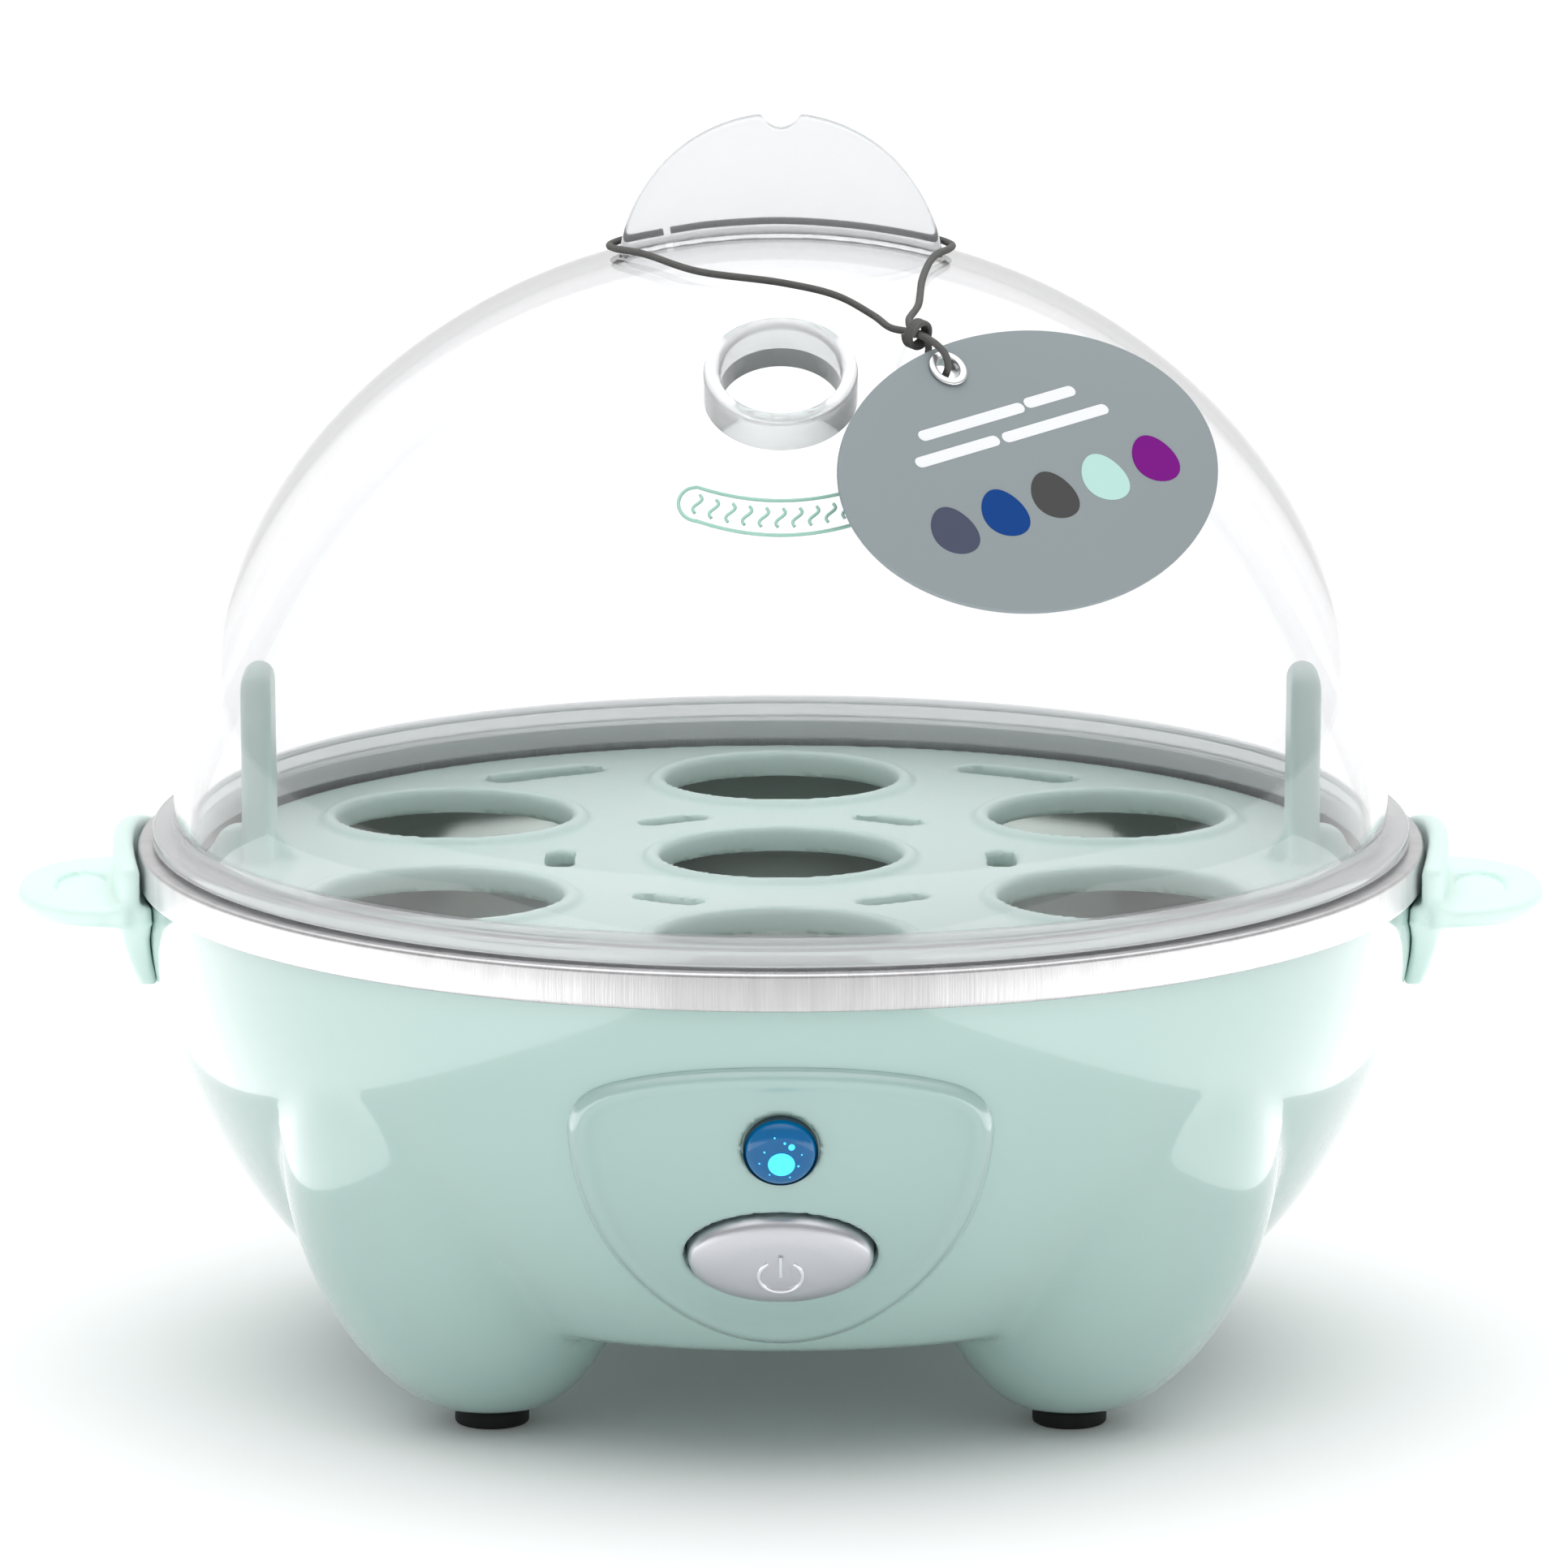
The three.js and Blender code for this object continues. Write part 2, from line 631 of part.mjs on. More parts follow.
function heatingDish() {
  const top = DISH_FLANGE_Z + DISH_SHEET;
  const pan = turned([
    [0, DISH_FLOOR_Z],
    [61.5, DISH_FLOOR_Z],
    [63.8, DISH_FLOOR_Z + 1],
    [70.4, DISH_FLANGE_Z],
    [DISH_R, DISH_FLANGE_Z],
    [DISH_R, top],
    [70, top],
    [63.2, DISH_FLOOR_Z + 1.7],
    [61.2, DISH_FLOOR_Z + DISH_SHEET],
    [0, DISH_FLOOR_Z + DISH_SHEET],
  ], HIDDEN_ROUND);
  const studs = STUD_AZIMUTHS.map((a) => {
    const shoulder = bar(2.9, SHIELD_LOW + SHIELD_SHEET + GAP, DISH_FLOOR_Z + 0.2, 16);
    const thread = bar(1.9, 33.6, DISH_FLOOR_Z + 0.2, 16);
    return placed(moved(join(shoulder, thread), STUD_AT, 0, 0), aroundZ(a));
  });
  return join(pan, ...studs);
}

add("heating_dish", heatingDish(), MATERIALS.dish);

// ---------------------------------------------------------------- heater under the dish

const ELEMENT_R = 3.2;
const ELEMENT_AT = 35.5;
const ELEMENT_Z = DISH_FLOOR_Z - GAP - ELEMENT_R;
const TAIL_AZIMUTH = 68; // where the element's right tail turns down
const TAIL_END = 33;

function heatingElement() {
  const onRing = (angle, z) => [
    ELEMENT_AT * Math.cos(degrees(angle)),
    ELEMENT_AT * Math.sin(degrees(angle)),
    z,
  ];
  const bends = 20;
  const sweep = 360 - 2 * (90 - TAIL_AZIMUTH) - 12;
  const start = TAIL_AZIMUTH - 6;
  const points = [onRing(TAIL_AZIMUTH, TAIL_END), onRing(TAIL_AZIMUTH, ELEMENT_Z - 5)];
  for (let i = 0; i <= bends; i++) points.push(onRing(start - (sweep * i) / bends, ELEMENT_Z));
  points.push(onRing(180 - TAIL_AZIMUTH, ELEMENT_Z - 5), onRing(180 - TAIL_AZIMUTH, TAIL_END));
  return tube(points, ELEMENT_R - 0.2, 36, 7);
}

add("heating_element", heatingElement(), MATERIALS.zinc);

function heatShield() {
  const tails = [TAIL_AZIMUTH, 180 - TAIL_AZIMUTH].map((a) =>
    placed(moved(bar(4.2, 30, 45, 16), ELEMENT_AT, 0, 0), aroundZ(a)),
  );
  const studHoles = STUD_AZIMUTHS.map((a) => placed(moved(bar(2.3, 30, 45, 12), STUD_AT, 0, 0), aroundZ(a)));
  const disc = bar(48, SHIELD_LOW, SHIELD_LOW + SHIELD_SHEET, HIDDEN_ROUND);
  return cut(disc, bar(6, 30, 45, 16), ...tails, ...studHoles);
}

add("heat_shield", heatShield(), MATERIALS.aluminium);

STUD_AZIMUTHS.forEach((azimuth, i) => {
  const hexagon = bar(3.9, 34.9, SHIELD_LOW - GAP, 6);
  const nut = cut(hexagon, bar(2.25, 30, 40, 16));
  const mesh = add(`shield_nut_${i + 1}`, nut, MATERIALS.brass);
  mesh.position.set(STUD_AT * Math.cos(degrees(azimuth)), STUD_AT * Math.sin(degrees(azimuth)), 0);
});

const thermostat = join(
  bar(8, 43.2, DISH_FLOOR_Z - GAP),
  bar(6.4, 41.6, 43.4),
  moved(block([-0.4, -1.6, 34.5], [0.4, 1.6, 42]), -3, 0, 0),
  moved(block([-0.4, -1.6, 34.5], [0.4, 1.6, 42]), 3, 0, 0),
);
add("thermostat", thermostat, MATERIALS.blackPlastic);

// A spring strap that stands on the heat shield and presses the thermostat up to the dish.
function thermostatStrap() {
  const profile = new THREE.Shape();
  const low = SHIELD_LOW + SHIELD_SHEET + GAP;
  const outline = [
    [-19, low],
    [-11, low],
    [-9.2, 42.3],
    [-7, 42.3],
    [-7, 42.9],
    [-9.7, 42.9],
    [-11.5, low + 0.6],
    [-19, low + 0.6],
  ];
  outline.forEach(([x, z], i) => (i === 0 ? profile.moveTo(x, z) : profile.lineTo(x, z)));
  const leg = placed(slab(profile, -4, 4), ALONG_FRONT);
  const far = placed(leg, aroundZ(180));
  const collar = cut(bar(10, 42.3, 42.9), bar(6.8, 40, 45));
  return join(leg, far, collar);
}

add("thermostat_strap", thermostatStrap(), MATERIALS.zinc);

const fuse = join(
  bar(2.2, -6, 6, 16),
  bar(0.5, -11, -5.5, 8),
  bar(0.5, 5.5, 11, 8),
);
const fuseMesh = add("thermal_fuse", fuse, MATERIALS.zinc);
fuseMesh.rotation.y = Math.PI / 2;
fuseMesh.position.set(-3, 24, 43.5);

// ---------------------------------------------------------------- power inlet and internal leads

const gland = turned(
  [
    [3.2, 57.6],
    [6.3, 57.6],
    [6.3, 58.8],
    [5.2, 59.6],
    [5.2, 73.9],
    [8, 73.9],
    [8, 75.2],
    [7.2, 76.1],
    [4.4, 76.4],
    [3.2, 76.1],
  ],
  SMALL_ROUND,
);
add("cord_gland", alongRear(gland), MATERIALS.blackPlastic);

function cordClamp() {
  const yoke = block([-13, CLAMP_Y - 3, CLAMP_Z], [13, CLAMP_Y + 3, CLAMP_Z + 2.4]);
  const arch = alongRear(bar(5.4, CLAMP_Y - 3, CLAMP_Y + 3));
  const holes = CLAMP_POSTS.map((x) => moved(bar(1.6, 20, 40, 12), x, CLAMP_Y, 0));
  const lowHalf = block([-20, 40, 0], [20, 70, CLAMP_Z]);
  return cut(join(yoke, arch), lowHalf, alongRear(bar(3.3, 40, 70)), ...holes);
}

add("cord_clamp", cordClamp(), MATERIALS.whitePlastic);

CLAMP_POSTS.forEach((x, i) => {
  const mesh = add(`clamp_screw_${i + 1}`, screw(2.7, 1.4, 1.15, 7), MATERIALS.zinc);
  mesh.rotation.x = Math.PI;
  mesh.position.set(x, CLAMP_Y, CLAMP_Z + 2.4 + GAP);
});

const BLOCK_Y = [36, 46];
const terminalBlock = cut(
  join(
    block([-10, BLOCK_Y[0], 16.5], [10, BLOCK_Y[1], 20]),
    block([-9, BLOCK_Y[0] + 1, 19], [-1, BLOCK_Y[1] - 1, 25]),
    block([1, BLOCK_Y[0] + 1, 19], [9, BLOCK_Y[1] - 1, 25]),
  ),
  moved(bar(1.5, 21, 30, 12), -5, 41, 0),
  moved(bar(1.5, 21, 30, 12), 5, 41, 0),
);
add("terminal_block", terminalBlock, MATERIALS.whitePlastic);

const LEAD_R = 1;
const boardPoint = (x, up, out) => new THREE.Vector3(x, up, out).applyMatrix4(buttonFrame).toArray();
const tailPoint = (side, z) => [
  side * ELEMENT_AT * Math.cos(degrees(TAIL_AZIMUTH)),
  ELEMENT_AT * Math.sin(degrees(TAIL_AZIMUTH)),
  z,
];

const LEADS = {
  lead_live: {
    look: MATERIALS.brownLead,
    route: [
      boardPoint(-12, -8, BOARD_BACK - GAP),
      boardPoint(-12, -8, -20),
      [-14, -30, 28],
      [-15, 0, 26],
      [-14, 16, 24],
      [-9, 30, 22.5],
      [-5, 36.6, 22.5],
    ],
  },
  lead_neutral: {
    look: MATERIALS.blueLead,
    route: [
      [5, 36.6, 22.5],
      [8, 30, 22.5],
      [14, 27, 24],
      tailPoint(1, 27.5),
      tailPoint(1, TAIL_END - GAP),
    ],
  },
  lead_element: {
    look: MATERIALS.redLead,
    route: [
      boardPoint(-6, -8, BOARD_BACK - GAP),
      boardPoint(-6, -8, -20),
      [-8, -30, 30.5],
      [-12, 5, 29.5],
      tailPoint(-1, 27.5),
      tailPoint(-1, TAIL_END - GAP),
    ],
  },
  lead_thermostat: {
    look: MATERIALS.whiteLead,
    route: [
      boardPoint(1, -9, BOARD_BACK - GAP),
      boardPoint(1, -9, -20),
      [2, -30, 30.5],
      [3, -8, 29.6],
      [3, -1, 31],
      [3, 0, 34.2],
    ],
  },
};

for (const [name, { look, route }] of Object.entries(LEADS)) add(name, tube(route, LEAD_R, 14, 6), look);

// ---------------------------------------------------------------- side handles

// The tab's D-shaped outline on the +X side, from the bracket out to its tip.
function tabOutline() {
  const root = 81;
  const shape = new THREE.Shape();
  shape.moveTo(root, -TAB_HALF);
  shape.bezierCurveTo(root + 5, -TAB_HALF + 0.6, HANDLE_REACH, -9.5, HANDLE_REACH, 0);
  shape.bezierCurveTo(HANDLE_REACH, 9.5, root + 5, TAB_HALF - 0.6, root, TAB_HALF);
  shape.lineTo(root, -TAB_HALF);
  return shape;
}

// The strap that stands off the rim band, follows the shell below it and tapers to a point.
function sideHandle() {
  const against = 0.4;
  const strap = turned([
    [bodyRadius(47.8) + against, 47.8],
    ...bodySide(50, 58.6, against, 3),
    [81.4, 59],
    [81.5, 60],
    [81.5, BRACKET_TOP],
    [83, BRACKET_TOP],
    [83.3, 60],
    [82.6, 56.5],
    [80.9, 51],
    [bodyRadius(47.8) + 1, 47.8],
  ]);
  const front = new THREE.Shape();
  front.moveTo(-TAB_HALF, 57.4);
  front.lineTo(-TAB_HALF, 61);
  front.bezierCurveTo(-TAB_HALF, 65, -14, BRACKET_TOP, -10, BRACKET_TOP);
  front.lineTo(10, BRACKET_TOP);
  front.bezierCurveTo(14, BRACKET_TOP, TAB_HALF, 65, TAB_HALF, 61);
  front.lineTo(TAB_HALF, 57.4);
  front.bezierCurveTo(14, 54, 8, 52, 5, 47);
  front.lineTo(-5, 47);
  front.bezierCurveTo(-8, 52, -14, 54, -TAB_HALF, 57.4);
  const window = placed(slab(front, 70, 90, 5), ALONG_SIDE);
  const tab = slab(tabOutline(), TAB_TOP - 2.5, TAB_TOP);
  const thumbRecess = new THREE.Shape(ellipse(87.2, 0, 3.2, 7).getPoints(24));
  const pilot = placed(bar(1.8, 70, 81, 12), HANDLE_SCREW_FRAME);
  return cut(join(strap.intersect(window), tab), slab(thumbRecess, TAB_TOP - 0.9, TAB_TOP + 2), pilot);
}

for (const [side, angle] of [["right", 0], ["left", 180]]) {
  const holder = placedGroup(aroundZ(angle));
  add(`side_handle_${side}`, sideHandle(), MATERIALS.paleMint, holder);
  const mesh = add(`handle_screw_${side}`, screw(2.7, 1.6, 1.4, 4.1), MATERIALS.zinc, holder);
  mesh.applyMatrix4(HANDLE_SCREW_FRAME);
  mesh.translateZ(75.9);
}

// ---------------------------------------------------------------- egg tray

function slotAt(radius, azimuth, length, width) {
  const along = degrees(azimuth);
  const half = length / 2 / radius;
  const slot = new THREE.Path();
  slot.absarc(0, 0, radius + width / 2, along - half, along + half, false);
  const endX = radius * Math.cos(along + half);
  const endY = radius * Math.sin(along + half);
  slot.absarc(endX, endY, width / 2, along + half, along + half + Math.PI, false);
  slot.absarc(0, 0, radius - width / 2, along + half, along - half, true);
  const startX = radius * Math.cos(along - half);
  const startY = radius * Math.sin(along - half);
  slot.absarc(startX, startY, width / 2, along - half + Math.PI, along - half + 2 * Math.PI, false);
  return slot;
}

function roundHole(x, y, radius) {
  return new THREE.Path(ellipse(x, y, radius, radius).getPoints(20));
}

// A lifting post at +X with a rounded top, an outward ear and an inward gusset.
function liftingPost() {
  const blade = new THREE.Shape();
  blade.moveTo(-6, TRAY_HIGH - 1);
  blade.lineTo(-4.6, POST_TOP - 4);
  blade.bezierCurveTo(-4.4, POST_TOP - 0.4, -2.6, POST_TOP, 0, POST_TOP);
  blade.bezierCurveTo(2.6, POST_TOP, 4.4, POST_TOP - 0.4, 4.6, POST_TOP - 4);
  blade.lineTo(6, TRAY_HIGH - 1);
  const standing = placed(slab(blade, POST_AT - 1.9, POST_AT + 1.9, 5), ALONG_SIDE);
  const profile = new THREE.Shape();
  profile.moveTo(POST_AT - 5.5, TRAY_HIGH - 1);
  profile.lineTo(POST_AT - 1, 69);
  profile.lineTo(POST_AT + 1, 67);
  profile.bezierCurveTo(POST_AT + 4, 67, POST_AT + 6.3, 66.4, POST_AT + 6.3, TRAY_HIGH - 1);
  return join(standing, placed(slab(profile, -2, 2, 5), ALONG_FRONT));
}

function eggTray() {
  const plate = new THREE.Shape(ellipse(0, 0, TRAY_R, TRAY_R).getPoints(ROUND));
  plate.holes.push(roundHole(0, 0, SEAT_R));
  for (let i = 0; i < 6; i++) {
    const azimuth = 60 * i - 90;
    const angle = degrees(azimuth);
    plate.holes.push(roundHole(SEAT_AT * Math.cos(angle), SEAT_AT * Math.sin(angle), SEAT_R));
    plate.holes.push(slotAt(27.6, azimuth + 30, 6, 3.6));
    if (azimuth + 30 !== 0 && azimuth + 30 !== 180) plate.holes.push(slotAt(62, azimuth + 30, 12, 5));
  }
  const posts = [0, 180].map((a) => placed(liftingPost(), aroundZ(a)));
  return join(slab(plate, TRAY_LOW, TRAY_HIGH, 3), ...posts);
}

add("egg_tray", eggTray(), MATERIALS.paleMint);

// ---------------------------------------------------------------- clear lid

const DOME_STEPS = 8; // from the top of the dome to its foot

// Points of the dome from its top to its foot, at an inset from the outer surface.
function domeSide(inset, steps) {
  return Array.from({ length: steps + 1 }, (_, i) => {
    const angle = ((Math.PI / 2) * i) / steps;
    return [(LID_R - inset) * Math.sin(angle), LID_BASE_Z + (LID_RISE - inset) * Math.cos(angle)];
  });
}

// A frame on the dome at a slope down from the top and an azimuth, with Z square to the surface.
function domeFrame(slope, azimuth, lift) {
  const [s, c] = [Math.sin(degrees(slope)), Math.cos(degrees(slope))];
  const [ax, ay] = [Math.cos(degrees(azimuth)), Math.sin(degrees(azimuth))];
  const outward = new THREE.Vector3((s / LID_R) * ax, (s / LID_R) * ay, c / LID_RISE).normalize();
  const origin = new THREE.Vector3(LID_R * s * ax, LID_R * s * ay, LID_BASE_Z + LID_RISE * c);
  return frameAt(origin.addScaledVector(outward, lift), outward, new THREE.Vector3(-ay, ax, 0));
}

// The frosted fin that the lid is lifted by, bonded to the top of the dome.
function lidFin() {
  const disc = new THREE.Shape(ellipse(0, FIN_Z, FIN_R, FIN_R).getPoints(40));
  const blade = placed(slab(disc, -FIN_THICK / 2, FIN_THICK / 2), ALONG_FRONT);
  const notch = moved(placed(bar(2.5, -5, 5, 16), ALONG_FRONT), 0, 0, FIN_Z + FIN_R + 0.7);
  const dome = turned([...domeSide(0, DOME_STEPS), [0, LID_BASE_Z]]);
  return cut(blade, notch, dome);
}

function clearLid() {
  const dome = turned([
    ...domeSide(0, DOME_STEPS),
    [LID_R, 68.1],
    [LID_FLANGE_R - 0.4, 68.1],
    [LID_FLANGE_R, 67.6],
    [LID_FLANGE_R, 66.2],
    [75.3, 66.2],
    [75.3, 63.6],
    [73.5, 63.6],
    ...domeSide(LID_WALL, DOME_STEPS).reverse(),
  ]);
  const vent = domeFrame(VENT_SLOPE, 270, 0);
  const collar = turned(
    [
      [0, -1],
      [VENT_R, -1],
      [VENT_R, 3.2],
      [VENT_R - 0.5, 4],
      [VENT_R - 1, 4.2],
      [0, 4.2],
    ],
    24,
  );
  return cut(join(dome, placed(collar, vent)), placed(bar(VENT_HOLE_R, -12, 12, 24), vent));
}

add("lid_dome", clearLid(), MATERIALS.clear);
add("lid_fin", lidFin(), MATERIALS.frosted);

// ---------------------------------------------------------------- paper tag on its string

const TAG_HALF_LENGTH = 27.8;
const TAG_HALF_HEIGHT = 19.3;
const TAG_THICK = 0.8;
const TAG_SPIN = 15.6; // turn of the oval in its own plane, degrees
const EYELET_AT = [-0.7, 16];

const tagFrame = domeFrame(46.7, -58.1, 1.5).multiply(aroundZ(TAG_SPIN));
const tagGroup = placedGroup(tagFrame);

const cardShape = new THREE.Shape(ellipse(0, 0, TAG_HALF_LENGTH, TAG_HALF_HEIGHT).getPoints(36));
cardShape.holes.push(new THREE.Path(ellipse(...EYELET_AT, 2.2, 2.2).getPoints(16)));
add("tag_card", slab(cardShape, -TAG_THICK / 2, TAG_THICK / 2), MATERIALS.tagCard, tagGroup);

const eyelet = turned(
  [
    [1.5, -1],
    [2.5, -1],
    [2.5, -0.7],
    [1.9, -0.7],
    [1.9, 0.7],
    [2.5, 0.7],
    [2.5, 1],
    [1.5, 1],
  ],
  12,
);
add("tag_eyelet", eyelet, MATERIALS.zinc, tagGroup).position.set(...EYELET_AT, 0);

// The string's path: from behind the fin's left end, down the dome to the knot, through the eyelet,
// back through the knot, up to the fin's right end and behind the fin.
const STRING_R = 0.45;
const STRING_PATH = [
  [-14.5, 2.4, 141.55],
  [-18.8, 2.6, 140.65],
  [-21.0, 0.6, 140.15],
  [-20.6, -2.4, 140.15],
  [-16.8, -9.8, 140.55],
  [-9.8, -19.8, 139.85],
  [0.3, -24.2, 139.15],
  [6.7, -27.6, 138.15],
  [11.2, -32.2, 136.40],
  [13.2, -35.8, 135.50],
  [15.2, -37.4, 135.30],
  [16.9, -39.1, 135.00],
  [18.3, -40.6, 134.50],
  [19.6, -41.7, 133.30],
  [20.0, -41.7, 131.90],
  [19.4, -40.6, 130.20],
  [18.4, -39.3, 130.50],
  [17.7, -38.3, 132.20],
  [17.7, -37.9, 133.60],
  [17.5, -37.8, 134.60],
  [15.9, -36.3, 135.20],
  [15.4, -33.4, 136.00],
  [16.6, -27.6, 136.95],
  [17.2, -18.6, 138.75],
  [18.7, -9.6, 140.15],
  [20.7, -3.0, 140.15],
  [21.0, 0.6, 140.15],
  [18.8, 2.6, 140.65],
  [10.0, 2.4, 142.25],
  [0.0, 2.4, 142.95],
  [-9.0, 2.4, 142.45],
  [-13.6, 2.4, 141.75],
];
add("tag_string", tube(STRING_PATH, STRING_R, 75, 8), MATERIALS.tagString);

// The knot: a short wrapping round both strands, just above the card's edge.
const knotTop = new THREE.Vector3(15.55, -36.85, 135.25);
const knotFoot = new THREE.Vector3(17.2, -38.45, 134.8);
const knotAxis = new THREE.Vector3().subVectors(knotTop, knotFoot).normalize();
const knotSide = new THREE.Vector3(0, 0, 1).cross(knotAxis).normalize();
const knotMiddle = new THREE.Vector3().addVectors(knotTop, knotFoot).multiplyScalar(0.5);
const knotGroup = placedGroup(frameAt(knotMiddle, knotAxis, knotSide));
const knot = turned(
  [
    [1.5, -1],
    [1.8, -1],
    [2, -0.6],
    [2, 0.6],
    [1.8, 1],
    [1.5, 1],
  ],
  12,
);
add("tag_knot", knot, MATERIALS.tagString, knotGroup);

export default group;
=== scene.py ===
"""Looks for the egg cooker: fine surfaces, finishes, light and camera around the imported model."""

import json
import math

import bmesh
import bpy
import numpy as np
from mathutils import Matrix, Vector


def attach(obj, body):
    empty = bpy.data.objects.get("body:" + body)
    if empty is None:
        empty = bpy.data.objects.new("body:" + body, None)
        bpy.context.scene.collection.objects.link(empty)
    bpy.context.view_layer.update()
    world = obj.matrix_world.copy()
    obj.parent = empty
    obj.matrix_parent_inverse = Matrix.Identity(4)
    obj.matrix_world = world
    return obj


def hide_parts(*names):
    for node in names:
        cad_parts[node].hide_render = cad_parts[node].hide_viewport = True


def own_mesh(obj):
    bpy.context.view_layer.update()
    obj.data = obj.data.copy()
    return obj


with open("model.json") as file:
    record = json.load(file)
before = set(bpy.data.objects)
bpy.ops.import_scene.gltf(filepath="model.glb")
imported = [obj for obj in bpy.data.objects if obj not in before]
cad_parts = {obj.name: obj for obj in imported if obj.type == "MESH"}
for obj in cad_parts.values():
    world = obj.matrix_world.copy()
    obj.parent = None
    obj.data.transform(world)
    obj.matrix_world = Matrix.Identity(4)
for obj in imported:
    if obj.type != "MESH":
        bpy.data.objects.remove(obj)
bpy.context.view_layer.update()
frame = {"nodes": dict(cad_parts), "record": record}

MM = 0.001
TURN = 2 * math.pi

# ------------------------------------------------------------------ sizes, in millimetres

BOWL_R = 79
BOWL_TOP = 61
BOWL_DROP = 69
BOWL_UNDER = 14
NECK_TOP = 64.7
LEG_R = 21.2
LEG_HALF_HEIGHT = 31.3
LEG_CENTRE_Z = 32
LEG_ROOT = 49.7
LEG_LEAN = 0.18
LEG_PAD_Z = 2.4
LEG_AZIMUTHS = {"rear_right": 45, "rear_left": 135, "front_left": 225, "front_right": 315}
FOOT_AT = 50
LID_R = 75.5
LID_RISE = 72.6
LID_BASE_Z = 69.3
LID_WALL = 2
FIN_R = 20.1
FIN_Z = 136.4
FIN_HALF_THICK = 1.5
VENT_SLOPE = 35
VENT_R = 9.25
VENT_HOLE_R = 7.25
BUTTON_Z = 29.3
BUTTON_HALF_WIDTH = 11.15
BUTTON_HALF_HEIGHT = 6.9
LAMP_Z = 44.2
LENS_R = 4.15
PANEL_PROUD = 1.25
PANEL_RECESS = 1
SEAT_R = 15
SEAT_AT = 48
TRAY_R = 73.1
TRAY_LOW = 60.6
TRAY_HIGH = 63
POST_AT = 65
POST_TOP = 88


# ------------------------------------------------------------------ camera

CAMERA_ELEVATION = math.radians(11.5)
CAMERA_DISTANCE = 1300 * MM
CAMERA_TARGET = Vector((0.4, 0, 72.4)) * MM


def add_camera():
    data = bpy.data.cameras.new("camera")
    data.lens = 239.8
    data.sensor_width = 36
    camera = bpy.data.objects.new("camera", data)
    bpy.context.scene.collection.objects.link(camera)
    away = Vector((0, -math.cos(CAMERA_ELEVATION), math.sin(CAMERA_ELEVATION)))
    camera.location = CAMERA_TARGET + away * CAMERA_DISTANCE
    camera.rotation_euler = (-away).to_track_quat("-Z", "Y").to_euler()
    bpy.context.scene.camera = camera


add_camera()


# ------------------------------------------------------------------ materials


def set_socket(shader, name, value):
    shader.inputs[name].default_value = value


def srgb(r, g, b):
    """A linear colour from 0-255 screen values."""

    def linear(value):
        value /= 255
        return value / 12.92 if value <= 0.04045 else ((value + 0.055) / 1.055) ** 2.4

    return (linear(r), linear(g), linear(b), 1)


def new_group(name, inputs, outputs):
    """A shader node group with float or colour inputs (name, kind, default) and outputs (name, kind)."""
    group = bpy.data.node_groups.new(name, "ShaderNodeTree")
    for label, kind, default in inputs:
        socket = group.interface.new_socket(label, in_out="INPUT", socket_type=kind)
        socket.default_value = default
    for label, kind in outputs:
        group.interface.new_socket(label, in_out="OUTPUT", socket_type=kind)
    entry = group.nodes.new("NodeGroupInput")
    leaving = group.nodes.new("NodeGroupOutput")
    return group, entry, leaving


def math_node(tree, operation, first, second):
    node = tree.nodes.new("ShaderNodeMath")
    node.operation = operation
    for socket, value in zip(node.inputs, (first, second)):
        if isinstance(value, (int, float)):
            socket.default_value = value
        else:
            tree.links.new(value, socket)
    return node.outputs[0]


def build_mottle():
    """Slow change of colour and gloss over a moulded or pressed surface."""
    group, entry, leaving = new_group(
        "mottle",
        [
            ("Colour", "NodeSocketColor", (1, 1, 1, 1)),
            ("Scale", "NodeSocketFloat", 30),
            ("Depth", "NodeSocketFloat", 0.05),
            ("Roughness", "NodeSocketFloat", 0.2),
            ("Roughness Spread", "NodeSocketFloat", 0.05),
        ],
        [("Colour", "NodeSocketColor"), ("Roughness", "NodeSocketFloat")],
    )
    place = group.nodes.new("ShaderNodeTexCoord")
    noise = group.nodes.new("ShaderNodeTexNoise")
    noise.inputs["Detail"].default_value = 4
    group.links.new(place.outputs["Object"], noise.inputs["Vector"])
    group.links.new(entry.outputs["Scale"], noise.inputs["Scale"])
    centred = math_node(group, "SUBTRACT", noise.outputs["Fac"], 0.5)
    change = math_node(group, "MULTIPLY", centred, entry.outputs["Depth"])
    value = math_node(group, "ADD", change, 1)
    tint = group.nodes.new("ShaderNodeHueSaturation")
    group.links.new(entry.outputs["Colour"], tint.inputs["Color"])
    group.links.new(value, tint.inputs["Value"])
    group.links.new(tint.outputs["Color"], leaving.inputs["Colour"])
    gloss = math_node(group, "MULTIPLY", centred, entry.outputs["Roughness Spread"])
    gloss = math_node(group, "ADD", gloss, entry.outputs["Roughness"])
    group.links.new(gloss, leaving.inputs["Roughness"])
    return group


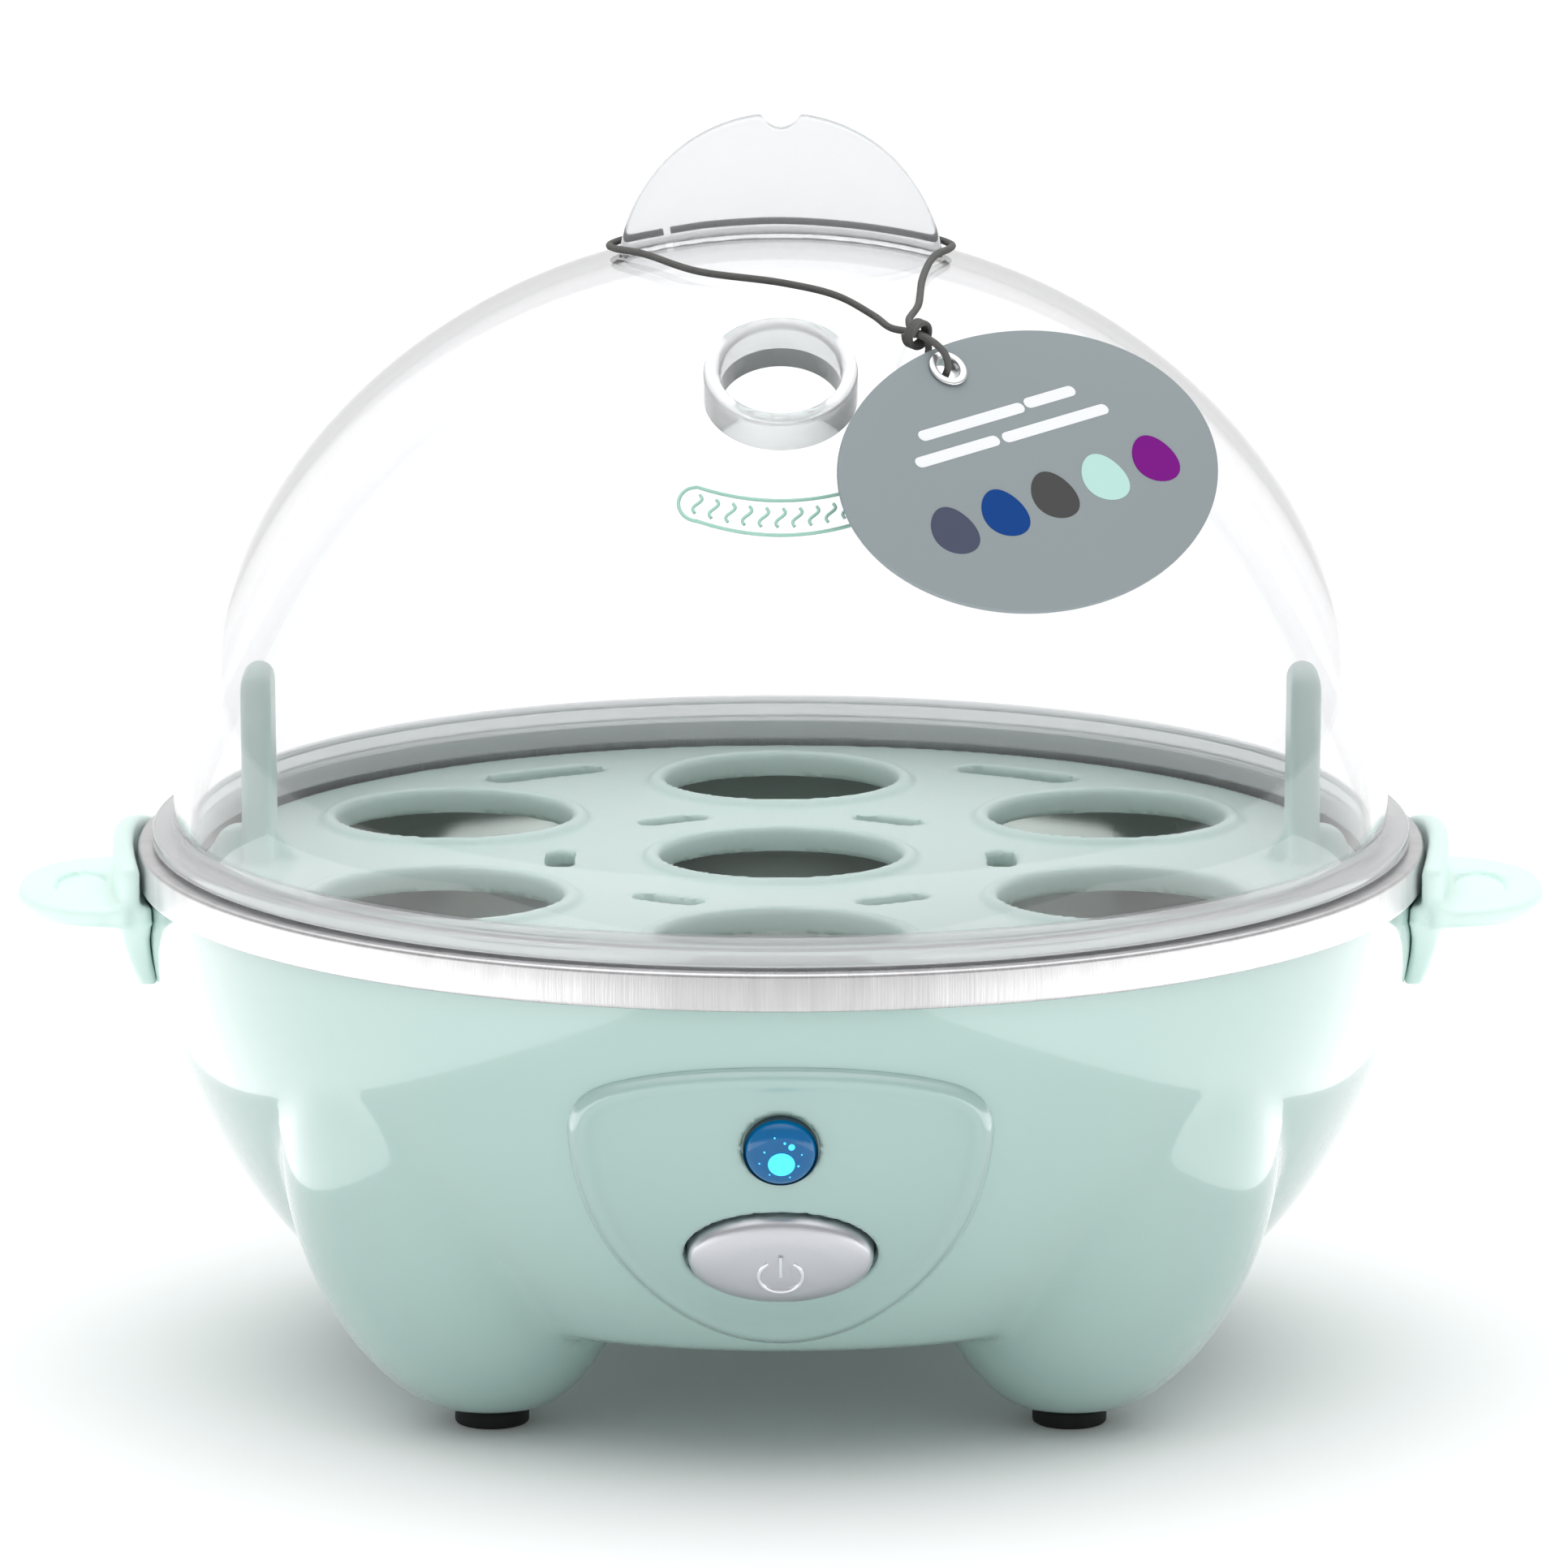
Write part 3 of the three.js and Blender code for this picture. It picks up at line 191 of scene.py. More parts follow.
def build_grain():
    """Fine surface relief: a height for a bump, from noise stretched along chosen axes."""
    group, entry, leaving = new_group(
        "grain",
        [
            ("Scale", "NodeSocketFloat", 900),
            ("Stretch X", "NodeSocketFloat", 1),
            ("Stretch Y", "NodeSocketFloat", 1),
            ("Stretch Z", "NodeSocketFloat", 1),
        ],
        [("Height", "NodeSocketFloat")],
    )
    place = group.nodes.new("ShaderNodeTexCoord")
    stretch = group.nodes.new("ShaderNodeCombineXYZ")
    for axis in "XYZ":
        group.links.new(entry.outputs[f"Stretch {axis}"], stretch.inputs[axis])
    scaled = group.nodes.new("ShaderNodeVectorMath")
    scaled.operation = "MULTIPLY"
    group.links.new(place.outputs["Object"], scaled.inputs[0])
    group.links.new(stretch.outputs["Vector"], scaled.inputs[1])
    noise = group.nodes.new("ShaderNodeTexNoise")
    noise.inputs["Detail"].default_value = 3
    group.links.new(scaled.outputs["Vector"], noise.inputs["Vector"])
    group.links.new(entry.outputs["Scale"], noise.inputs["Scale"])
    group.links.new(noise.outputs["Fac"], leaving.inputs["Height"])
    return group


def build_round_brush():
    """Brush marks that run round the Z axis: noise over height and radius, barely changing with angle."""
    group, entry, leaving = new_group(
        "round_brush",
        [("Fineness", "NodeSocketFloat", 4000), ("Around", "NodeSocketFloat", 6)],
        [("Height", "NodeSocketFloat")],
    )
    place = group.nodes.new("ShaderNodeTexCoord")
    split = group.nodes.new("ShaderNodeSeparateXYZ")
    group.links.new(place.outputs["Object"], split.inputs["Vector"])
    angle = math_node(group, "ARCTAN2", split.outputs["Y"], split.outputs["X"])
    radius_squared = math_node(
        group,
        "ADD",
        math_node(group, "MULTIPLY", split.outputs["X"], split.outputs["X"]),
        math_node(group, "MULTIPLY", split.outputs["Y"], split.outputs["Y"]),
    )
    radius = math_node(group, "SQRT", radius_squared, 0)
    combined = group.nodes.new("ShaderNodeCombineXYZ")
    group.links.new(math_node(group, "MULTIPLY", angle, entry.outputs["Around"]), combined.inputs["X"])
    group.links.new(math_node(group, "MULTIPLY", radius, entry.outputs["Fineness"]), combined.inputs["Y"])
    group.links.new(
        math_node(group, "MULTIPLY", split.outputs["Z"], entry.outputs["Fineness"]), combined.inputs["Z"]
    )
    noise = group.nodes.new("ShaderNodeTexNoise")
    noise.inputs["Scale"].default_value = 1
    noise.inputs["Detail"].default_value = 3
    group.links.new(combined.outputs["Vector"], noise.inputs["Vector"])
    group.links.new(noise.outputs["Fac"], leaving.inputs["Height"])
    return group


def build_brush_tones():
    """Colour, gloss and height of upright brush marks, in patches of differing strength."""
    group, _, leaving = new_group(
        "brush_tones",
        [],
        [("Colour", "NodeSocketColor"), ("Roughness", "NodeSocketFloat"), ("Height", "NodeSocketFloat")],
    )
    heights = []
    for around, fineness in ((420, 90), (26, 60)):
        brush = group.nodes.new("ShaderNodeGroup")
        brush.node_tree = ROUND_BRUSH
        brush.inputs["Around"].default_value = around
        brush.inputs["Fineness"].default_value = fineness
        heights.append(math_node(group, "SUBTRACT", brush.outputs["Height"], 0.5))
    fine, broad = heights
    tone = math_node(
        group,
        "ADD",
        math_node(group, "MULTIPLY", fine, 0.34),
        math_node(group, "MULTIPLY", broad, 0.3),
    )
    tint = group.nodes.new("ShaderNodeHueSaturation")
    tint.inputs["Color"].default_value = srgb(204, 203, 204)
    group.links.new(math_node(group, "ADD", tone, 1), tint.inputs["Value"])
    group.links.new(tint.outputs["Color"], leaving.inputs["Colour"])
    gloss = math_node(group, "ADD", math_node(group, "MULTIPLY", fine, 0.4), 0.36)
    group.links.new(gloss, leaving.inputs["Roughness"])
    group.links.new(fine, leaving.inputs["Height"])
    return group


MOTTLE = build_mottle()
GRAIN = build_grain()
ROUND_BRUSH = build_round_brush()
BRUSH_TONES = build_brush_tones()


def finish(name, colour, roughness, spread=0.04, depth=0.05, scale=30, relief=None, **sockets):
    """A material with mottled colour and gloss, and relief (group, values, strength, distance)."""
    material = bpy.data.materials.new(name)
    material.use_nodes = True
    tree = material.node_tree
    shader = tree.nodes["Principled BSDF"]
    mottle = tree.nodes.new("ShaderNodeGroup")
    mottle.node_tree = MOTTLE
    values = {
        "Colour": colour,
        "Scale": scale,
        "Depth": depth,
        "Roughness": roughness,
        "Roughness Spread": spread,
    }
    for label, value in values.items():
        mottle.inputs[label].default_value = value
    tree.links.new(mottle.outputs["Colour"], shader.inputs["Base Color"])
    tree.links.new(mottle.outputs["Roughness"], shader.inputs["Roughness"])
    if relief:
        group, settings, strength, distance = relief
        pattern = tree.nodes.new("ShaderNodeGroup")
        pattern.node_tree = group
        for label, value in settings.items():
            pattern.inputs[label].default_value = value
        bump = tree.nodes.new("ShaderNodeBump")
        bump.inputs["Strength"].default_value = strength
        bump.inputs["Distance"].default_value = distance
        tree.links.new(pattern.outputs["Height"], bump.inputs["Height"])
        tree.links.new(bump.outputs["Normal"], shader.inputs["Normal"])
    for label, value in sockets.items():
        set_socket(shader, label.replace("_", " "), value)
    return material


def glossy_plastic(name, colour, roughness=0.16):
    fine_orange_peel = (GRAIN, {"Scale": 160}, 0.06, 0.0004)
    return finish(name, colour, roughness, relief=fine_orange_peel, Coat_Weight=1.0, Coat_Roughness=0.04)


def metal(name, colour, roughness, relief, depth=0.08):
    return finish(name, colour, roughness, spread=0.15, depth=depth, relief=relief, Metallic=1.0)


def brushed_steel():
    """The rim band: fine upright brush marks over a slow change of tone round the rim."""
    material = bpy.data.materials.new("brushed_steel")
    material.use_nodes = True
    tree = material.node_tree
    shader = tree.nodes["Principled BSDF"]
    set_socket(shader, "Metallic", 1.0)
    marks = tree.nodes.new("ShaderNodeGroup")
    marks.node_tree = BRUSH_TONES
    tree.links.new(marks.outputs["Colour"], shader.inputs["Base Color"])
    tree.links.new(marks.outputs["Roughness"], shader.inputs["Roughness"])
    bump = tree.nodes.new("ShaderNodeBump")
    bump.inputs["Strength"].default_value = 0.3
    bump.inputs["Distance"].default_value = 0.00015
    tree.links.new(marks.outputs["Height"], bump.inputs["Height"])
    tree.links.new(bump.outputs["Normal"], shader.inputs["Normal"])
    return material


def dull_plastic(name, colour, roughness=0.5):
    return finish(name, colour, roughness, relief=(GRAIN, {"Scale": 1500}, 0.15, 0.0002))


FINISHES = {
    "mint_shell": glossy_plastic("shell_mint", srgb(164, 193, 187)),
    "panel_mint": glossy_plastic("panel_mint", srgb(158, 186, 181)),
    "pale_mint": finish(
        "pale_mint",
        srgb(226, 251, 243),
        0.3,
        relief=(GRAIN, {"Scale": 700}, 0.08, 0.0002),
        Subsurface_Weight=0.15,
        Subsurface_Radius=(0.004, 0.005, 0.0045),
    ),
    "clear_lid": finish(
        "clear_plastic",
        srgb(254, 254, 255),
        0.015,
        spread=0.01,
        depth=0.005,
        Transmission_Weight=1.0,
        IOR=1.49,
    ),
    "frosted_fin": finish(
        "frosted_plastic",
        srgb(242, 243, 245),
        0.14,
        depth=0.02,
        relief=(GRAIN, {"Scale": 2400}, 0.1, 0.0001),
        Transmission_Weight=0.82,
        IOR=1.35,
    ),
    "brushed_band": brushed_steel(),
    "dish_steel": metal(
        "dish_steel", srgb(186, 196, 190), 0.3, (ROUND_BRUSH, {"Fineness": 3000}, 0.12, 0.0001)
    ),
    "element_sheath": metal("element_sheath", srgb(150, 148, 142), 0.5, (GRAIN, {"Scale": 800}, 0.2, 0.0002)),
    "shield_aluminium": metal(
        "shield_aluminium", srgb(200, 202, 204), 0.35, (GRAIN, {"Scale": 500, "Stretch X": 0.05}, 0.15, 0.0001)
    ),
    "zinc_steel": metal("zinc_steel", srgb(190, 192, 196), 0.35, (GRAIN, {"Scale": 1200}, 0.1, 0.0001)),
    "brass_nut": metal("brass_nut", srgb(206, 168, 88), 0.3, (GRAIN, {"Scale": 900}, 0.1, 0.0001)),
    "silver_button": metal(
        "silver_paint", srgb(206, 206, 211), 0.36, (GRAIN, {"Scale": 2600}, 0.25, 0.00008), depth=0.1
    ),
    "black_plastic": dull_plastic("black_plastic", srgb(34, 34, 35)),
    "white_plastic": dull_plastic("white_plastic", srgb(236, 236, 230), 0.42),
    "board": dull_plastic("board_mask", srgb(38, 104, 58), 0.35),
    "black_rubber": dull_plastic("black_rubber", srgb(20, 21, 21), 0.72),
    "lead_brown": dull_plastic("lead_brown", srgb(110, 64, 34), 0.45),
    "lead_blue": dull_plastic("lead_blue", srgb(42, 80, 160), 0.45),
    "lead_red": dull_plastic("lead_red", srgb(160, 44, 36), 0.45),
    "lead_white": dull_plastic("lead_white", srgb(222, 222, 220), 0.45),
    "tag_card": finish(
        "tag_card",
        srgb(144, 153, 156),
        0.75,
        depth=0.03,
        relief=(GRAIN, {"Scale": 2200}, 0.12, 0.0001),
        Specular_IOR_Level=0.15,
    ),
    "tag_eyelet": metal("eyelet_white_metal", srgb(226, 227, 228), 0.3, (GRAIN, {"Scale": 900}, 0.1, 0.0001)),
    "tag_string": finish(
        "waxed_string", srgb(88, 88, 86), 0.7, depth=0.25, scale=900, relief=(GRAIN, {"Scale": 2600}, 0.6, 0.0003)
    ),
}

LENS_BLUE = finish(
    "lens_blue",
    srgb(1, 48, 92),
    0.1,
    depth=1.1,
    scale=700,
    Specular_IOR_Level=0.3,
    Coat_Weight=0.3,
    Emission_Color=srgb(2, 140, 206),
    Emission_Strength=0.34,
)
LENS_CORE = finish(
    "lens_core",
    srgb(60, 190, 250),
    0.15,
    Emission_Color=srgb(66, 204, 255),
    Emission_Strength=0.85,
)
MILKY_CLEAR = finish(
    "milky_clear_plastic",
    srgb(252, 253, 254),
    0.06,
    spread=0.01,
    depth=0.005,
    Transmission_Weight=0.6,
    IOR=1.45,
)
LENS_RIM = finish("lens_rim", srgb(30, 52, 66), 0.3)
MARK_METAL = metal("mark_metal", srgb(238, 238, 242), 0.14, (GRAIN, {"Scale": 1800}, 0.05, 0.00005))
STEAM_PRINT = finish("steam_print", srgb(160, 206, 190), 0.4)
CARD_WHITE = finish("card_white", srgb(236, 238, 240), 0.7)
DOT_COLOURS = {
    "slate": (75, 80, 100),
    "blue": (12, 64, 134),
    "charcoal": (74, 74, 74),
    "mint": (182, 220, 212),
    "purple": (118, 14, 128),
}
CARD_DOTS = [
    (label, finish(f"card_dot_{label}", srgb(*colour), 0.7, Specular_IOR_Level=0.1))
    for label, colour in DOT_COLOURS.items()
]

for entry in frame["record"]["subparts"]:
    node = frame["nodes"][entry["node"]]
    node.data.materials.clear()
    node.data.materials.append(FINISHES.get(entry["material_slot"], LENS_BLUE))


# ------------------------------------------------------------------ meshes


def make_piece(name, points, faces, material, body, instead_of=(), crease=35):
    """A mesh piece from points in millimetres, riding on a body and standing for CAD nodes."""
    mesh = bpy.data.meshes.new(name)
    mesh.from_pydata([tuple(float(v) * MM for v in p) for p in points], [], [tuple(map(int, f)) for f in faces])
    mesh.validate()
    mesh.shade_smooth()
    mesh.set_sharp_from_angle(angle=math.radians(crease))
    mesh.materials.append(material)
    piece = bpy.data.objects.new(name, mesh)
    bpy.context.scene.collection.objects.link(piece)
    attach(piece, body)
    if instead_of:
        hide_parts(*instead_of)
    return piece


def rounded(points, radius, steps=4):
    """A run of [r, z] points with each inner corner eased over a distance."""
    points = [np.array(p, float) for p in points]
    eased = [points[0]]
    for before, corner, after in zip(points, points[1:], points[2:]):
        back, ahead = before - corner, after - corner
        reach_back = min(radius, np.linalg.norm(back) * 0.48)
        reach_ahead = min(radius, np.linalg.norm(ahead) * 0.48)
        start = corner + back / np.linalg.norm(back) * reach_back
        end = corner + ahead / np.linalg.norm(ahead) * reach_ahead
        for i in range(steps + 1):
            t = i / steps
            eased.append((1 - t) ** 2 * start + 2 * t * (1 - t) * corner + t**2 * end)
    return eased + [points[-1]]


def turned(section, facets=120, squash=1.0):
    """Points and faces of a section of [r, z] turned about Z; ends on the axis close to a point."""
    points, rings = [], []
    for r, z in section:
        if r < 1e-6:
            rings.append([len(points)] * facets)
            points.append((0, 0, z))
            continue
        rings.append(list(range(len(points), len(points) + facets)))
        for i in range(facets):
            angle = TURN * i / facets
            points.append((r * math.cos(angle), squash * r * math.sin(angle), z))
    faces = []
    on_axis = section[0][0] < 1e-6
    pairs = list(zip(rings, rings[1:])) + ([] if on_axis else [(rings[-1], rings[0])])
    for lower, upper in pairs:
        for i in range(facets):
            j = (i + 1) % facets
            corners = [lower[i], lower[j], upper[j], upper[i]]
            face = [c for k, c in enumerate(corners) if c not in corners[:k]]
            if len(face) > 2:
                faces.append(face)
    return np.array(points), faces


def outward(points, faces):
    """The same faces, turned over if together they enclose a negative volume."""
    volume = 0
    for face in faces:
        a = points[face[0]]
        for b, c in zip(face[1:], face[2:]):
            volume += np.dot(a, np.cross(points[b], points[c]))
    return faces if volume > 0 else [list(reversed(f)) for f in faces]


def moved(points, matrix):
    rotation = np.array(matrix.to_3x3())
    return points @ rotation.T + np.array(matrix.translation)


def soft_min(a, b, ease):
    share = np.clip(0.5 + 0.5 * (b - a) / ease, 0, 1)
    return b * (1 - share) + a * share - ease * share * (1 - share)


def soft_max(a, b, ease):
    return -soft_min(-a, -b, ease)


def carved(field, low, high, cell):
    """Points and quads of the surface where field(x, y, z) is zero; it is negative inside."""
    axes = [np.arange(low[i], high[i] + cell, cell) for i in range(3)]
    grid = np.stack(np.meshgrid(*axes, indexing="ij"), -1)
    value = field(grid[..., 0], grid[..., 1], grid[..., 2])
    shape = tuple(n - 1 for n in value.shape)
    total, hits = np.zeros(shape + (3,)), np.zeros(shape)
    for axis in range(3):
        first, second = (a for a in range(3) if a != axis)
        for s in (0, 1):
            for t in (0, 1):
                start = [slice(0, n) for n in shape]
                start[first] = slice(s, s + shape[first])
                start[second] = slice(t, t + shape[second])
                end = list(start)
                end[axis] = slice(1, 1 + shape[axis])
                a, b = value[tuple(start)], value[tuple(end)]
                crossing = (a < 0) != (b < 0)
                share = np.where(crossing, a / np.where(crossing, a - b, 1), 0)
                near, far = grid[tuple(start)], grid[tuple(end)]
                total += (near + share[..., None] * (far - near)) * crossing[..., None]
                hits += crossing
    active = hits > 0
    number = np.full(shape, -1)
    number[active] = np.arange(active.sum())
    points = total[active] / hits[active][:, None]
    faces = []
    for axis in range(3):
        u, v = (axis + 1) % 3, (axis + 2) % 3
        start = [None] * 3
        start[axis], start[u], start[v] = slice(0, shape[axis]), slice(1, shape[u]), slice(1, shape[v])
        end = list(start)
        end[axis] = slice(1, 1 + shape[axis])
        a, b = value[tuple(start)], value[tuple(end)]
        crossing = (a < 0) != (b < 0)
        base = np.argwhere(crossing)
        base[:, u] += 1
        base[:, v] += 1
        corners = []
        for du, dv in ((-1, -1), (0, -1), (0, 0), (-1, 0)):
            at = base.copy()
            at[:, u] += du
            at[:, v] += dv
            corners.append(number[tuple(at.T)])
        quads = np.stack(corners, 1)
        leaving = a[crossing] < 0
        faces.append(np.where(leaving[:, None], quads, quads[:, ::-1]))
    step = 0.02
    for _ in range(4):
        here = field(*points.T)
        slope = np.stack(
            [
                (field(*(points + step * e).T) - field(*(points - step * e).T)) / (2 * step)
                for e in np.eye(3)
            ],
            1,
        )
        move = slope * (here / np.maximum((slope**2).sum(1), 0.2))[:, None]
        length = np.linalg.norm(move, axis=1, keepdims=True)
        points = points - move * np.minimum(1, 0.4 * cell / np.maximum(length, 1e-9))
    return points, np.concatenate(faces)


def bowl_radius(z):
    return BOWL_R * np.sqrt(1 - ((BOWL_TOP - z) / BOWL_DROP) ** 2)


def front_frame(z):
    """A frame on the front of the bowl, in millimetres: X sideways, Y up the surface, Z out of it."""
    slope = (BOWL_R**2 / BOWL_DROP**2) * (BOWL_TOP - z) / bowl_radius(z)
    tilt = math.atan(slope)
    out = Vector((0, -math.cos(tilt), -math.sin(tilt)))
    side = Vector((1, 0, 0))
    matrix = Matrix((side, out.cross(side), out)).transposed().to_4x4()
    matrix.translation = Vector((0, -bowl_radius(z), z))
    return matrix


def dome_frame(slope, azimuth, lift=0.0):
    """A frame on the lid: Z square to the dome, X level round it."""
    s, c = math.sin(math.radians(slope)), math.cos(math.radians(slope))
    ax, ay = math.cos(math.radians(azimuth)), math.sin(math.radians(azimuth))
    out = Vector((s / LID_R * ax, s / LID_R * ay, c / LID_RISE)).normalized()
    side = Vector((-ay, ax, 0))
    matrix = Matrix((side, out.cross(side), out)).transposed().to_4x4()
    matrix.translation = Vector((LID_R * s * ax, LID_R * s * ay, LID_BASE_Z + LID_RISE * c)) + out * lift
    return matrix


BUTTON_FRAME = front_frame(BUTTON_Z)
LAMP_FRAME = front_frame(LAMP_Z)


def local(matrix, x, y, z):
    """Coordinates of x, y, z in a frame."""
    inverse = matrix.inverted()
    return [inverse[i][0] * x + inverse[i][1] * y + inverse[i][2] * z + inverse[i][3] for i in range(3)]


# ------------------------------------------------------------------ string, knot and tag

STRING_R = 0.45
STRING_PATH = [
    [-14.5, 2.4, 141.55],
    [-18.8, 2.6, 140.65],
    [-21.0, 0.6, 140.15],
    [-20.6, -2.4, 140.15],
    [-16.8, -9.8, 140.55],
    [-9.8, -19.8, 139.85],
    [0.3, -24.2, 139.15],
    [6.7, -27.6, 138.15],
    [11.2, -32.2, 136.4],
    [13.2, -35.8, 135.5],
    [15.2, -37.4, 135.3],
    [16.9, -39.1, 135.0],
    [18.3, -40.6, 134.5],
    [19.6, -41.7, 133.3],
    [20.0, -41.7, 131.9],
    [19.4, -40.6, 130.2],
    [18.4, -39.3, 130.5],
    [17.7, -38.3, 132.2],
    [17.7, -37.9, 133.6],
    [17.5, -37.8, 134.6],
    [15.9, -36.3, 135.2],
    [15.4, -33.4, 136.0],
    [16.6, -27.6, 136.95],
    [17.2, -18.6, 138.75],
    [18.7, -9.6, 140.15],
    [20.7, -3.0, 140.15],
    [21.0, 0.6, 140.15],
    [18.8, 2.6, 140.65],
    [10.0, 2.4, 142.25],
    [0.0, 2.4, 142.95],
    [-9.0, 2.4, 142.45],
    [-13.6, 2.4, 141.75],
]


def smooth_route(points, per_span):
    """Points of a smooth curve through the given points."""
    points = [np.array(p, float) for p in points]
    padded = [2 * points[0] - points[1], *points, 2 * points[-1] - points[-2]]
    route = []
    for a, b, c, d in zip(padded, padded[1:], padded[2:], padded[3:]):
        knots = [0]
        for p, q in ((a, b), (b, c), (c, d)):
            knots.append(knots[-1] + np.linalg.norm(q - p) ** 0.5)
        for i in range(per_span):
            t = knots[1] + (knots[2] - knots[1]) * i / per_span
            level = [a, b, c, d]
            for size in (1, 2, 3):
                width = size if size < 3 else 1
                left = range(len(level) - 1)
                if size < 3:
                    level = [
                        (knots[k + width] - t) / (knots[k + width] - knots[k]) * level[k]
                        + (t - knots[k]) / (knots[k + width] - knots[k]) * level[k + 1]
                        for k in left
                    ]
                else:
                    level = [
                        (knots[2] - t) / (knots[2] - knots[1]) * level[0]
                        + (t - knots[1]) / (knots[2] - knots[1]) * level[1]
                    ]
            route.append(level[0])
    return route + [points[-1]]


def add_curve(name, route, radius, material, body, closed=False, instead_of=()):
    data = bpy.data.curves.new(name, "CURVE")
    data.dimensions = "3D"
    data.bevel_depth = radius * MM
    data.bevel_resolution = 3
    data.use_fill_caps = True
    spline = data.splines.new("POLY")
    spline.points.add(len(route) - 1)
    for point, place in zip(spline.points, route):
        point.co = (*(float(v) * MM for v in place), 1)
    spline.use_cyclic_u = closed
    spline.use_smooth = True
    data.materials.append(material)
    curve = bpy.data.objects.new(name, data)
    bpy.context.scene.collection.objects.link(curve)
    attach(curve, body)
    if instead_of:
        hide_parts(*instead_of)
    return curve


TAG_HALF_LENGTH = 27.8
TAG_HALF_HEIGHT = 19.3
TAG_THICK = 0.8
EYELET_AT = (-0.7, 16)
TAG_FRAME = dome_frame(46.7, -58.1, 1.5) @ Matrix.Rotation(math.radians(15.6), 4, "Z")


def add_card():
    """An oval card with eased edges and a punched hole."""
    facets = 128
    angles = [TURN * i / facets for i in range(facets)]
    hole_r, half, ease = 2.2, TAG_THICK / 2, 0.25
    outline = [(TAG_HALF_LENGTH, TAG_HALF_HEIGHT, half), (TAG_HALF_LENGTH, TAG_HALF_HEIGHT, -half)]
    rows = []
    for height, inset in ((half, ease), (half - 0.1, 0.06), (half - ease, 0), (ease - half, 0), (-half, ease)):
        rx, ry = outline[0][0] - inset, outline[0][1] - inset
        rows.append([(rx * math.cos(a), ry * math.sin(a), height) for a in angles])
    hole = [
        [(EYELET_AT[0] + hole_r * math.cos(a), EYELET_AT[1] + hole_r * math.sin(a), z) for a in angles]
        for z in (half, -half)
    ]
    loops = [hole[0], *rows, hole[1]]
    points = [p for row in loops for p in row]
    faces = []
    for k in range(len(loops)):
        following = (k + 1) % len(loops)
        for i in range(facets):
            j = (i + 1) % facets
            faces.append([k * facets + i, k * facets + j, following * facets + j, following * facets + i])
    points = np.array(points)
    faces = outward(points, faces)
    return make_piece(
        "tag_card_fine", moved(points, TAG_FRAME), faces, FINISHES["tag_card"], "lid", ["tag_card"]
    )


def add_eyelet():
    section = rounded(
        [[1.5, 0], [1.5, 0.95], [2.45, 0.95], [2.5, 0.5], [1.9, 0.5], [1.9, -0.5], [2.5, -0.5], [2.45, -0.95]]
        + [[1.5, -0.95], [1.5, 0]],
        0.3,
    )[:-1]
    points, faces = turned(section, 48)
    place = TAG_FRAME @ Matrix.Translation((*EYELET_AT, 0))
    return make_piece(
        "eyelet_fine",
        moved(points, place),
        outward(points, faces),
        FINISHES["tag_eyelet"],
        "lid",
        ["tag_eyelet"],
    )


def add_knot():
    """Turns of string wrapped round both strands, just above the card's edge."""
    top, foot = Vector((15.55, -36.85, 135.25)), Vector((17.2, -38.45, 134.8))
    axis = (top - foot).normalized()
    side = Vector((0, 0, 1)).cross(axis).normalized()
    matrix = Matrix((side, axis.cross(side), axis)).transposed().to_4x4()
    matrix.translation = (top + foot) / 2
    wraps, per_turn, coil_r, wire = 3, 28, 1.55, 0.36
    route = []
    for i in range(wraps * per_turn + 1):
        angle = TURN * i / per_turn
        along = -0.72 + 1.44 * i / (wraps * per_turn)
        route.append((coil_r * math.cos(angle), coil_r * math.sin(angle), along))
    placed = moved(np.array(route), matrix)
    return add_curve("knot_fine", placed, wire, FINISHES["tag_string"], "lid", instead_of=["tag_knot"])


def egg_outline(cx, cy, half_width, half_height, turn, count=40):
    points = []
    for i in range(count):
        angle = TURN * i / count
        x = half_width * math.cos(angle) * (1 - 0.16 * math.sin(angle))
        y = half_height * math.sin(angle)
        c, s = math.cos(turn), math.sin(turn)
        points.append((cx + c * x - s * y, cy + s * x + c * y))
    return points


def add_print(name, outline, matrix, material, body, lift, thick=0.03):
    """A thin printed patch on a flat frame, from an outline that is convex."""
    count = len(outline)
    low = [(x, y, lift) for x, y in outline]
    high = [(x, y, lift + thick) for x, y in outline]
    points = np.array(low + high)
    faces = [list(range(count, 2 * count)), list(reversed(range(count)))]
    for i in range(count):
        j = (i + 1) % count
        faces.append([i, j, count + j, count + i])
    return make_piece(name, moved(points, matrix), outward(points, faces), material, body)


